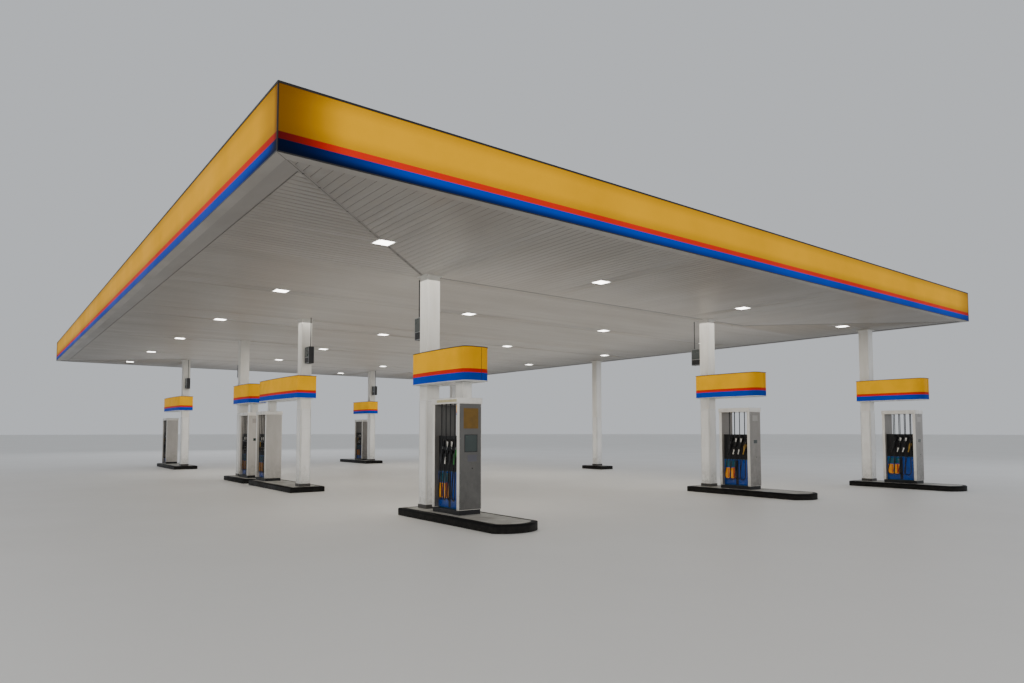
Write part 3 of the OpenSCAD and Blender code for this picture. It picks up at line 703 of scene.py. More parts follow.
class Shape:
    """A mesh being made, in metres, in the row frame."""

    def __init__(self) -> None:
        """Starts an empty mesh."""
        self.mesh = bmesh.new()

    def _place(self, verts: Iterable[bmesh.types.BMVert], at: Matrix) -> None:
        """Moves new points to their place."""
        for vert in verts:
            vert.co = at @ vert.co

    def block(self, low: Point, high: Point, at: Matrix = IDENTITY, edge: float = 0.0, rounds: int = 1) -> None:
        """Adds a box with cut or rounded edges.

        Args:
            low: its lowest corner.
            high: its highest corner.
            at: its own frame.
            edge: width of the cut edge.
            rounds: number of cuts, more than 1 for a rounded edge.
        """
        size = [h - l for l, h in zip(low, high)]
        middle = [(h + l) / 2 for l, h in zip(low, high)]
        made = bmesh.ops.create_cube(self.mesh, size=1.0, matrix=Matrix.Diagonal((*size, 1.0)))
        verts = made["verts"]
        if edge:
            edges = list({e for v in verts for e in v.link_edges})
            cut = bmesh.ops.bevel(
                self.mesh, geom=edges, offset=edge, segments=rounds, affect="EDGES", profile=0.5, clamp_overlap=True
            )
            verts = list({v for v in cut["verts"]} | {v for v in verts if v.is_valid})
        self._place(verts, at @ Matrix.Translation(middle))

    def prism(self, outline: Outline, low: float, high: float, at: Matrix = IDENTITY, edge: float = 0.0) -> None:
        """Adds an outline raised from one height to another.

        Args:
            outline: points in plan, anticlockwise.
            low: height of its underside.
            high: height of its top.
            at: its own frame.
            edge: width of the cut round the top and the underside.
        """
        rings = [(low, 0.0), (high, 0.0)]
        if edge:
            rings = [(low, edge), (low + edge, 0.0), (high - edge, 0.0), (high, edge)]
        loops = [
            [self.mesh.verts.new(at @ Vector((x, y, z))) for x, y in inset(outline, inward)] for z, inward in rings
        ]
        count = len(outline)
        for lower, upper in zip(loops, loops[1:]):
            for i in range(count):
                j = (i + 1) % count
                self.mesh.faces.new((lower[i], lower[j], upper[j], upper[i]))
        self.mesh.faces.new(list(reversed(loops[0])))
        self.mesh.faces.new(loops[-1])

    def ring(self, outer: Outline, inner: Outline, levels: Outline, at: Matrix = IDENTITY) -> None:
        """Adds a closed band between two outlines with as many points as each other.

        Args:
            outer: outer outline, anticlockwise.
            inner: inner outline, anticlockwise.
            levels: heights from low to high, each with how far the outer outline draws in there.
            at: its own frame.
        """
        count = len(outer)
        ends = (levels[0][0], levels[-1][0])
        outside = [
            [self.mesh.verts.new(at @ Vector((x, y, z))) for x, y in inset(outer, inward)] for z, inward in levels
        ]
        inside = [[self.mesh.verts.new(at @ Vector((x, y, z))) for x, y in inner] for z in ends]
        walls = outside + [inside[1], inside[0], outside[0]]
        for first, second in zip(walls, walls[1:]):
            for i in range(count):
                j = (i + 1) % count
                self.mesh.faces.new((first[i], first[j], second[j], second[i]))

    def turned(self, profile: Outline, at: Matrix = IDENTITY, sides: int = 16) -> None:
        """Adds a turned solid.

        Args:
            profile: radius and height, from the underside to the top. A radius of 0 makes a point.
            at: its own frame, with its axis along Z.
            sides: number of flats round it.
        """
        rings = []
        for radius, height in profile:
            if radius == 0:
                rings.append([self.mesh.verts.new(at @ Vector((0, 0, height)))])
                continue
            angles = [2 * math.pi * i / sides for i in range(sides)]
            rings.append(
                [self.mesh.verts.new(at @ Vector((radius * math.cos(a), radius * math.sin(a), height))) for a in angles]
            )
        for lower, upper in zip(rings, rings[1:]):
            for i in range(sides):
                j = (i + 1) % sides
                if len(lower) == 1:
                    self.mesh.faces.new((lower[0], upper[j], upper[i]))
                elif len(upper) == 1:
                    self.mesh.faces.new((lower[i], lower[j], upper[0]))
                else:
                    self.mesh.faces.new((lower[i], lower[j], upper[j], upper[i]))
        if len(rings[0]) > 1:
            self.mesh.faces.new(list(reversed(rings[0])))
        if len(rings[-1]) > 1:
            self.mesh.faces.new(rings[-1])

    def piece(self, name: str, sharp: float = 35.0) -> Piece:
        """Ends the mesh.

        Args:
            name: the piece's name.
            sharp: angle in degrees from which an edge stays crisp.

        Returns:
            The new object, at the origin.
        """
        bmesh.ops.recalc_face_normals(self.mesh, faces=self.mesh.faces)
        data = bpy.data.meshes.new(name)
        self.mesh.to_mesh(data)
        self.mesh.free()
        data.shade_smooth()
        data.set_sharp_from_angle(angle=math.radians(sharp))
        piece = bpy.data.objects.new(name, data)
        bpy.context.scene.collection.objects.link(piece)
        return piece


def inset(outline: Outline, inward: float) -> list[tuple[float, float]]:
    """Draws an anticlockwise outline in.

    Args:
        outline: its points.
        inward: how far each side moves in.

    Returns:
        The new points, as many as before.
    """
    if not inward:
        return list(outline)
    moved = []
    count = len(outline)
    for i, (x, y) in enumerate(outline):
        before = Vector(outline[i - 1])
        after = Vector(outline[(i + 1) % count])
        here = Vector((x, y))
        first, second = (here - before).normalized(), (after - here).normalized()
        left = Vector((-first.y, first.x)) + Vector((-second.y, second.x))
        left.normalize()
        across = max(0.3, left.dot(Vector((-first.y, first.x))))
        moved.append(tuple(here + left * (inward / across)))
    return moved


class Repeats:
    """Geometry Nodes for what repeats or follows a path. Each result is turned into a plain mesh."""

    def __init__(self) -> None:
        """Builds the trees once."""
        self.at_points = self._tree("repeat_at_points", {"Template": "Object", "Material": "Material"}, self._spread)
        line = {"Template": "Object", "Count": "Int", "Start": "Vector", "Step": "Vector", "Material": "Material"}
        self.along_line = self._tree("repeat_along_line", line, self._line)
        path = {"Radius": "Float", "Sides": "Int", "Material": "Material"}
        self.along_path = self._tree("sweep_along_path", path, self._sweep)

    def _tree(self, name: str, sockets: dict[str, str], body: Callable[[Tree, Outputs], Socket]) -> Tree:
        """Builds a tree with named inputs around the nodes that one method adds.

        Args:
            name: the tree's name.
            sockets: its inputs, name to kind.
            body: the method.

        Returns:
            The tree.
        """
        tree = bpy.data.node_groups.new(name, "GeometryNodeTree")
        tree.interface.new_socket("Geometry", in_out="INPUT", socket_type="NodeSocketGeometry")
        for label, kind in sockets.items():
            tree.interface.new_socket(label, in_out="INPUT", socket_type=f"NodeSocket{kind}")
        tree.interface.new_socket("Geometry", in_out="OUTPUT", socket_type="NodeSocketGeometry")
        inputs = add_node(tree, "NodeGroupInput").outputs
        solid = add_node(tree, "GeometryNodeRealizeInstances", {"Geometry": body(tree, inputs)}).outputs[0]
        dressed = add_node(tree, "GeometryNodeSetMaterial", {"Geometry": solid, "Material": inputs["Material"]})
        add_node(tree, "NodeGroupOutput", {"Geometry": dressed.outputs[0]})
        return tree

    def _spread(self, tree: Tree, inputs: Outputs) -> Socket:
        """Adds the nodes that put the template at each point, turned by the point's attribute.

        Args:
            tree: the geometry tree.
            inputs: the tree's inputs.

        Returns:
            The instances.
        """
        turn = add_node(tree, "GeometryNodeInputNamedAttribute", {"Name": "turn"}, data_type="FLOAT_VECTOR")
        rotation = add_node(tree, "FunctionNodeEulerToRotation", {0: turn.outputs[0]}).outputs[0]
        template = add_node(tree, "GeometryNodeObjectInfo", {"Object": inputs["Template"]}).outputs["Geometry"]
        placed = {"Points": inputs["Geometry"], "Instance": template, "Rotation": rotation}
        return add_node(tree, "GeometryNodeInstanceOnPoints", placed).outputs[0]

    def _line(self, tree: Tree, inputs: Outputs) -> Socket:
        """Adds the nodes that repeat the template in a straight row.

        Args:
            tree: the geometry tree.
            inputs: the tree's inputs.

        Returns:
            The instances.
        """
        spots = {"Count": inputs["Count"], "Start Location": inputs["Start"], "Offset": inputs["Step"]}
        line = add_node(tree, "GeometryNodeMeshLine", spots).outputs[0]
        template = add_node(tree, "GeometryNodeObjectInfo", {"Object": inputs["Template"]}).outputs["Geometry"]
        return add_node(tree, "GeometryNodeInstanceOnPoints", {"Points": line, "Instance": template}).outputs[0]

    def _sweep(self, tree: Tree, inputs: Outputs) -> Socket:
        """Adds the nodes that make a closed round bar along each path.

        Args:
            tree: the geometry tree.
            inputs: the tree's inputs.

        Returns:
            The bars.
        """
        path = add_node(tree, "GeometryNodeMeshToCurve", {"Mesh": inputs["Geometry"]}).outputs[0]
        flats = {"Resolution": inputs["Sides"], "Radius": inputs["Radius"]}
        ring = add_node(tree, "GeometryNodeCurvePrimitiveCircle", flats).outputs[0]
        bar = {"Curve": path, "Profile Curve": ring, "Fill Caps": True}
        return add_node(tree, "GeometryNodeCurveToMesh", bar).outputs[0]

    def _run(self, data: bpy.types.Mesh, tree: Tree, values: dict[str, object], sharp: float = 35.0) -> Piece:
        """Runs a tree on a mesh.

        Args:
            data: the mesh, which has the piece's name.
            tree: the geometry tree.
            values: the tree's inputs, name to value.
            sharp: angle in degrees from which an edge stays crisp.

        Returns:
            The result as a plain object.
        """
        name = data.name
        carrier = bpy.data.objects.new(name, data)
        bpy.context.scene.collection.objects.link(carrier)
        modifier = carrier.modifiers.new("repeats", "NODES")
        modifier.node_group = tree
        for socket in tree.interface.items_tree:
            if socket.in_out == "INPUT" and socket.name in values:
                modifier[socket.identifier] = values[socket.name]
        solid = solid_copy(carrier, name)
        solid.data.shade_smooth()
        solid.data.set_sharp_from_angle(angle=math.radians(sharp))
        return solid

    def put(
        self, name: str, shape: Shape, places: Sequence[Matrix], slot: str, finish: Finish, *stands_for: str
    ) -> None:
        """Puts a shape at many places, as one piece that is dressed and tied to the frame.

        Args:
            name: the piece's name.
            shape: what is repeated.
            places: its places.
            slot: not used.
            finish: its finish.
            stands_for: the CAD nodes that it replaces.
        """
        template = shape.piece("template")
        data = bpy.data.meshes.new(name)
        data.from_pydata([tuple(m.translation) for m in places], [], [])
        turn = data.attributes.new("turn", "FLOAT_VECTOR", "POINT")
        turn.data.foreach_set("vector", [angle for m in places for angle in m.to_euler("XYZ")])
        piece = self._run(data, self.at_points, {"Template": template, "Material": finish.material()})
        bpy.data.objects.remove(template)
        settle(piece, slot, finish, *stands_for)

    def row(self, name: str, template: Piece, count: int, start: Point, step: Point, finish: Finish) -> Piece:
        """Repeats a template in a straight row.

        Args:
            name: the piece's name.
            template: what is repeated. It is removed from the scene.
            count: how many.
            start: place of the first.
            step: way from one to the next.
            finish: the finish of the piece.

        Returns:
            One plain mesh object.
        """
        values = {"Template": template, "Count": count, "Start": start, "Step": step, "Material": finish.material()}
        piece = self._run(bpy.data.meshes.new(name), self.along_line, values)
        bpy.data.objects.remove(template)
        return piece

    def sweep(self, name: str, paths: Sequence[Sequence[Point]], radius: float, sides: int, finish: Finish) -> Piece:
        """Makes round bars along paths.

        Args:
            name: the piece's name.
            paths: the points of each path.
            radius: radius of the bar.
            sides: number of flats round it.
            finish: the finish of the piece.

        Returns:
            One plain mesh object.
        """
        points: list[Point] = []
        edges: list[tuple[int, int]] = []
        for path in paths:
            first = len(points)
            points.extend(path)
            edges.extend((i, i + 1) for i in range(first, len(points) - 1))
        data = bpy.data.meshes.new(name)
        data.from_pydata(points, edges, [])
        values = {"Radius": radius, "Sides": sides, "Material": finish.material()}
        return self._run(data, self.along_path, values, sharp=50.0)


def solid_copy(carrier: Piece, name: str) -> Piece:
    """Turns an object with live modifiers into a plain mesh object, and removes the first.

    Args:
        carrier: the object.
        name: the name of the result.

    Returns:
        The plain object.
    """
    bpy.context.view_layer.update()
    data = bpy.data.meshes.new_from_object(carrier.evaluated_get(bpy.context.evaluated_depsgraph_get()))
    bpy.data.objects.remove(carrier)
    data.name = name
    solid = bpy.data.objects.new(name, data)
    bpy.context.scene.collection.objects.link(solid)
    return solid


def dress(piece: Piece, finish: Finish) -> None:
    """Gives a piece one finish all over."""
    piece.data.materials.clear()
    piece.data.materials.append(finish.material())


def settle(piece: Piece, slot: str, finish: Finish, *stands_for: str) -> None:
    """Dresses a finished piece and ties it to the frame.

    Args:
        piece: the plain mesh object.
        slot: not used.
        finish: its finish.
        stands_for: the CAD nodes that it replaces.
    """
    dress(piece, finish)
    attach(piece, "root")
    if stands_for:
        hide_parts(*stands_for)
    LOG.info("%s: %d faces", piece.name, len(piece.data.polygons))


# ---------------------------------------------------------------- studio


@dataclass
class Studio:
    """The camera of the photograph's view, a plain floor and soft light."""

    eye: Point = (-12.92, -23.14, 1.74)
    yaw: float = 37.44
    pitch: float = 3.03
    sensor: float = 36.0
    focal_px: float = 690.5
    image_px: float = 1024.0
    shift_px: float = 53.1
    sight: float = 400.0
    floor_reach: float = 380.0
    floor_z: float = -0.002
    sky: str = "#dfe3e8"
    sky_level: float = 0.75
    lamps_x: tuple[float, ...] = (-5.0, 4.6)
    lamps_y: tuple[float, ...] = (-10.0, -1.6, 7.0)
    lamps_z: float = 4.9

    def camera(self) -> None:
        """Sets the camera."""
        data = bpy.data.cameras.new("photo_view")
        data.sensor_width = self.sensor
        data.lens = self.focal_px / self.image_px * self.sensor
        data.shift_y = self.shift_px / self.image_px
        data.clip_end = self.sight
        camera = bpy.data.objects.new("photo_view", data)
        camera.location = self.eye
        camera.rotation_euler = (math.radians(90 + self.pitch), 0.0, -math.radians(self.yaw))
        bpy.context.scene.collection.objects.link(camera)
        bpy.context.scene.camera = camera

    def floor(self) -> None:
        """Lays a plain pale floor."""
        shape = Shape()
        reach = self.floor_reach
        corners = [(-reach, -reach), (reach, -reach), (reach, reach), (-reach, reach)]
        shape.mesh.faces.new([shape.mesh.verts.new((x, y, self.floor_z)) for x, y in corners])
        floor = shape.piece("studio_floor")
        dress(floor, STUDIO_FLOOR)

    def area(self, name: str, place: Point, aim: Point, size: float, watts: float, colour: str) -> None:
        """Adds one soft light.

        Args:
            name: its name.
            place: where it stands.
            aim: where it points.
            size: its diameter.
            watts: its power.
            colour: its sRGB hex value.
        """
        data = bpy.data.lights.new(name, "AREA")
        data.shape = "DISK"
        data.size = size
        data.energy = watts
        data.color = linear(colour)[:3]
        light = bpy.data.objects.new(name, data)
        light.location = place
        light.rotation_euler = (Vector(aim) - Vector(place)).to_track_quat("-Z", "Y").to_euler()
        light.visible_camera = False
        light.visible_glossy = False
        bpy.context.scene.collection.objects.link(light)

    def lights(self) -> None:
        """Adds the pale surroundings and the soft lights."""
        world = bpy.data.worlds.new("pale_surroundings")
        world.use_nodes = True
        tree = world.node_tree
        tree.nodes.clear()
        back = add_node(tree, "ShaderNodeBackground", {"Color": linear(self.sky), "Strength": self.sky_level})
        add_node(tree, "ShaderNodeOutputWorld", {"Surface": back.outputs[0]})
        bpy.context.scene.world = world
        self.area("key_light", (-26.0, -34.0, 7.5), (0.0, -4.0, 2.0), 11.0, 3600.0, "#fff7ea")
        self.area("fill_light", (30.0, -26.0, 9.0), (2.0, -4.0, 3.0), 14.0, 1800.0, "#eef3ff")
        self.area("back_light", (6.0, 40.0, 18.0), (0.0, 0.0, 4.0), 18.0, 2200.0, "#f4f6ff")
        for x in self.lamps_x:
            for y in self.lamps_y:
                self.area(f"lamp_light_{x:.0f}_{y:.0f}", (x, y, self.lamps_z), (x, y, 0.0), 5.0, 130.0, "#fffaf0")

    def build(self) -> None:
        """Builds all of it."""
        self.camera()
        self.floor()
        self.lights()


# ---------------------------------------------------------------- pumps


class Cover(Enum):
    """The colour of a nozzle's cover."""

    BLACK = "black"
    # The white cover is a pale shell that stands for a painted highlight on a black grip.
    WHITE = "white"
    YELLOW = "yellow"
    GREEN = "green"


# Moulded covers: smoother than the castings, and worn at the grips. Spark-eroded texture, drawn so that it shows.
WORN = {"patch_mm": 60, "patch": 0.6, "grain_mm": 1.5}
COVER_FINISH = {
    Cover.BLACK: Finish("nozzle_cover_black", "#1a1a1c", "#303032", 0.42, patch_mm=60, grain_mm=1.5, grain=0.2),
    # The white cover finish is a painted highlight.
    Cover.WHITE: Finish("nozzle_cover_white", "#e8e7e3", "#b9b6ad", 0.36, **WORN),
    Cover.YELLOW: Finish("nozzle_cover_yellow", "#b08a34", "#7a5d26", 0.38, **WORN),
    Cover.GREEN: Finish("nozzle_cover_green", "#2f8f3a", "#1c5f28", 0.38, **WORN),
}


@dataclass
class PumpSize:
    """Sizes of one pump in its own frame: X across the island, Y along it, Z up from the ground, in metres."""

    half_l: float = 0.49
    half_w: float = 0.26
    panel_t: float = 0.085
    plinth_top: float = 0.24
    cabinet_top: float = 0.96
    bay_top: float = 1.65
    panel_top: float = 2.27
    top: float = 2.38
    cabinet_x: float = 0.16
    bay_x: float = 0.15
    nozzle_x: float = 0.217
    nozzle_z: float = 1.07
    nozzle_pitch: float = 0.16
    nozzle_shift: float = 0.0065
    hose_out: float = 0.031
    hose_side: float = 0.1
    hose_bend: float = 0.12
    hose_r: float = 0.011
    hose_low: float = 0.39
    gland_z: float = 2.23

    def faces(self, place: Place) -> list[Matrix]:
        """Returns the frames of the pump's two long faces, each with its X outwards."""
        return [place.matrix(-place.pump) @ spin(turn) for turn in (0, 180)]

    @property
    def reach(self) -> float:
        """Half the clear length between the end panels."""
        return self.half_l - self.panel_t

    @property
    def rows(self) -> list[float]:
        """Places of the four nozzles along a face."""
        return [(i - 1.5) * self.nozzle_pitch - self.nozzle_shift for i in range(4)]

    @property
    def bend_z(self) -> float:
        """Height of the middle of a hose's bottom bend."""
        return self.hose_low + self.hose_r + self.hose_bend

    @property
    def lean(self) -> float:
        """Angle of a nozzle and of the slant of its hose, in radians."""
        side, drop = self.hose_side - self.hose_bend, self.nozzle_z - self.bend_z
        return math.atan(-side / drop) + math.asin(self.hose_bend / math.hypot(side, drop))

    @property
    def turn(self) -> float:
        """Angle that the upright plane of a hose is turned out by, in radians."""
        return math.asin(self.hose_out / self.hose_side)


@dataclass
class Hoses:
    """Nozzle hoses: each hangs from its gland under the header, turns up in a bend and ends at its nozzle."""

    size: PumpSize
    repeats: Repeats
    declared: tuple[int, ...] = (0, 3, 4, 6, 7)
    sides: int = 12
    rise_points: int = 9
    bend_points: int = 20
    slant_points: int = 6

    def path(self, face: Matrix, row: float) -> list[Point]:
        """Works out a hose's centreline, from its gland to its nozzle.

        Args:
            face: frame of the pump's long face.
            row: place of the nozzle along the face.

        Returns:
            The points in the row frame.
        """
        s = self.size
        flat: list[tuple[float, float]] = []
        for i in range(self.rise_points):
            flat.append((s.hose_side, s.gland_z + (s.bend_z - s.gland_z) * i / self.rise_points))
        middle = s.hose_side - s.hose_bend
        sweep = math.pi + s.lean
        for i in range(self.bend_points + 1):
            angle = -sweep * i / self.bend_points
            flat.append((middle + s.hose_bend * math.cos(angle), s.bend_z + s.hose_bend * math.sin(angle)))
        start = flat[-1]
        for i in range(1, self.slant_points + 1):
            part = i / self.slant_points
            flat.append((start[0] * (1 - part), start[1] + (s.nozzle_z - start[1]) * part))
        at = face @ Matrix.Translation((s.nozzle_x, row, 0.0)) @ Matrix.Rotation(-s.turn, 4, "Z")
        return [tuple(at @ Vector((0.0, y, z))) for y, z in flat]

    def declare(self, name: str, path: Sequence[Point]) -> None:
        """Args:
            name: the piece's name.
            path: its centreline.
        """
        radius = self.size.hose_r
        hose = self.repeats.sweep(name, [path], radius, self.sides, HOSE_RUBBER)
        settle(hose, "hose_rubber", HOSE_RUBBER, "pump_hoses")
        length = sum((Vector(b) - Vector(a)).length for a, b in zip(path, path[1:]))
        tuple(path[0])

    def build(self) -> None:
        """Builds every hose: those of the pumps nearest the edges each as a piece of their own, the rest as one piece.
        """
        loose: list[list[Point]] = []
        for number, place in enumerate(LAYOUT.pumps):
            for side, face in enumerate(self.size.faces(place)):
                for row, offset in enumerate(self.size.rows):
                    path = self.path(face, offset)
                    if number in self.declared:
                        self.declare(f"hose_{number}_{side}_{row}", path)
                    else:
                        loose.append(path)
        rest = self.repeats.sweep("hoses_inner_pumps", loose, self.size.hose_r, self.sides, HOSE_RUBBER)
        settle(rest, "hose_rubber", HOSE_RUBBER, "pump_hoses")


@dataclass
class Nozzles:
    """Fuelling nozzles with their covers, levers, spouts and swivels, hung in the boots."""

    size: PumpSize
    repeats: Repeats
    length: float = 0.33
    body_t: float = 0.032
    spout_l: float = 0.125
    spout_r: float = 0.0105
    coils: int = 4
    coil_pitch: float = 0.006
    usual: tuple[Cover, ...] = (Cover.YELLOW, Cover.WHITE, Cover.WHITE, Cover.BLACK)
    first_pump: tuple[Cover, ...] = (Cover.GREEN, Cover.BLACK, Cover.WHITE, Cover.BLACK)
    labelled: tuple[int, ...] = (1, 2)

    def slab(self, shape: Shape, points: Outline, share: float, edge: float) -> None:
        """Adds a flat part of the nozzle, seen from its side.

        Args:
            shape: the mesh being made.
            points: its outline, anticlockwise, for a nozzle 1 long.
            share: its thickness as a share of the casting's.
            edge: width of the cut edge.
        """
        upright = Matrix(((0, 0, 1, 0), (1, 0, 0, 0), (0, 1, 0, 0), (0, 0, 0, 1)))
        thickness = self.body_t * share
        sized = [(x * self.length, y * self.length) for x, y in points]
        shape.prism(sized, -thickness / 2, thickness / 2, upright, edge)

    def body(self) -> Shape:
        """Makes the casting.

        Returns:
            The grip, neck, guard, lever and swivel ball.
        """
        shape = Shape()
        grip = [(-0.035, 0.1), (0.045, 0.1), (0.08, 0.3), (0.1, 0.5), (0.075, 0.64), (-0.01, 0.6), (-0.03, 0.35)]
        self.slab(shape, grip, 0.8, 0.006)
        guard = [
            [(-0.04, 0.1), (0.0, 0.14), (-0.1, 0.2), (-0.14, 0.16)],
            [(-0.14, 0.16), (-0.1, 0.2), (-0.15, 0.58), (-0.21, 0.6)],
            [(-0.21, 0.6), (-0.15, 0.58), (-0.02, 0.62), (-0.06, 0.7)],
        ]
        for bar in guard:
            self.slab(shape, bar[::-1], 0.45, 0.003)
        lever = [(-0.06, 0.24), (-0.045, 0.26), (-0.075, 0.44), (-0.03, 0.6), (-0.05, 0.62), (-0.1, 0.44)]
        self.slab(shape, lever[::-1], 0.5, 0.002)
        ball = [(0, -0.014), (0.008, -0.012), (0.013, -0.006), (0.014, 0.0), (0.013, 0.008), (0.0135, 0.03), (0, 0.034)]
        shape.turned(ball)
        return shape

    def cover(self, cover: Cover) -> Shape:
        """Makes the moulded cover. The white one is a pale shell on the grip alone, a painted highlight on the black
        casting.

        Args:
            cover: its colour.

        Returns:
            The cover, with the splash collar where it is a full one.
        """
        shape = Shape()
        if cover is Cover.WHITE:
            shell = [(-0.03, 0.1), (0.05, 0.1), (0.085, 0.42), (0.1, 0.52), (-0.04, 0.52), (-0.02, 0.35)]
        else:
            shell = [(-0.03, 0.1), (0.05, 0.1), (0.085, 0.42), (0.125, 0.62), (0.13, 0.88), (0.09, 0.97)]
            shell += [(-0.045, 0.97), (-0.085, 0.74), (-0.05, 0.6), (-0.02, 0.35)]
        self.slab(shape, shell, 1.06, 0.007)
        if cover is not Cover.WHITE:
            collar = [(0.017, 0.0), (0.021, 0.003), (0.021, 0.011), (0.0145, 0.016)]
            shape.turned(collar, Matrix.Translation((0, 0.0, self.length * 0.955)))
        return shape

    def spout(self) -> Shape:
        """Makes the spout.

        Returns:
            The spout, with its ring and the coils of the holding spring.
        """
        r, z = self.spout_r, self.length * 0.96
        profile = [(r * 1.3, z), (r * 1.3, z + 0.014), (r, z + 0.018)]
        for i in range(self.coils):
            coil = z + 0.022 + i * self.coil_pitch
            profile += [(r, coil), (r * 1.12, coil + 0.0015), (r * 1.12, coil + 0.003), (r, coil + 0.0045)]
        profile += [(r * 0.97, z + 0.05), (r * 0.92, z + self.spout_l), (r * 0.7, z + self.spout_l + 0.004)]
        shape = Shape()
        shape.turned(profile, sides=14)
        return shape

    def build(self) -> None:
        """Builds the nozzles of all pumps."""
        s = self.size
        places: list[Matrix] = []
        inner: list[Matrix] = []
        covers: dict[Cover, list[Matrix]] = {cover: [] for cover in Cover}
        for number, place in enumerate(LAYOUT.pumps):
            colours = self.usual if number else self.first_pump
            for side, face in enumerate(s.faces(place)):
                for i, row in enumerate(s.rows):
                    at = face @ Matrix.Translation((s.nozzle_x, row, s.nozzle_z)) @ Matrix.Rotation(-s.lean, 4, "X")
                    places.append(at)
                    if i in self.labelled:
                        inner.append(at)
                    covers[colours[3 - i if side else i]].append(at)
        label = Shape()
        label.block((0.0155, -0.034, 0.39), (0.018, 0.034, 0.486), edge=0.0008)
        put = self.repeats.put
        put("hood_label_plates", label, inner, "pump_black", HOOD_WHITE)
        put("nozzle_bodies", self.body(), places, "nozzle_cover", MOULDED_BLACK, "pump_nozzles")
        put("nozzle_spouts", self.spout(), places, "nozzle_cover", CAST_METAL, "pump_nozzles")
        for cover, spots in covers.items():
            name = f"nozzle_covers_{cover.value}"
            put(name, self.cover(cover), spots, "nozzle_cover", COVER_FINISH[cover], "pump_nozzles")


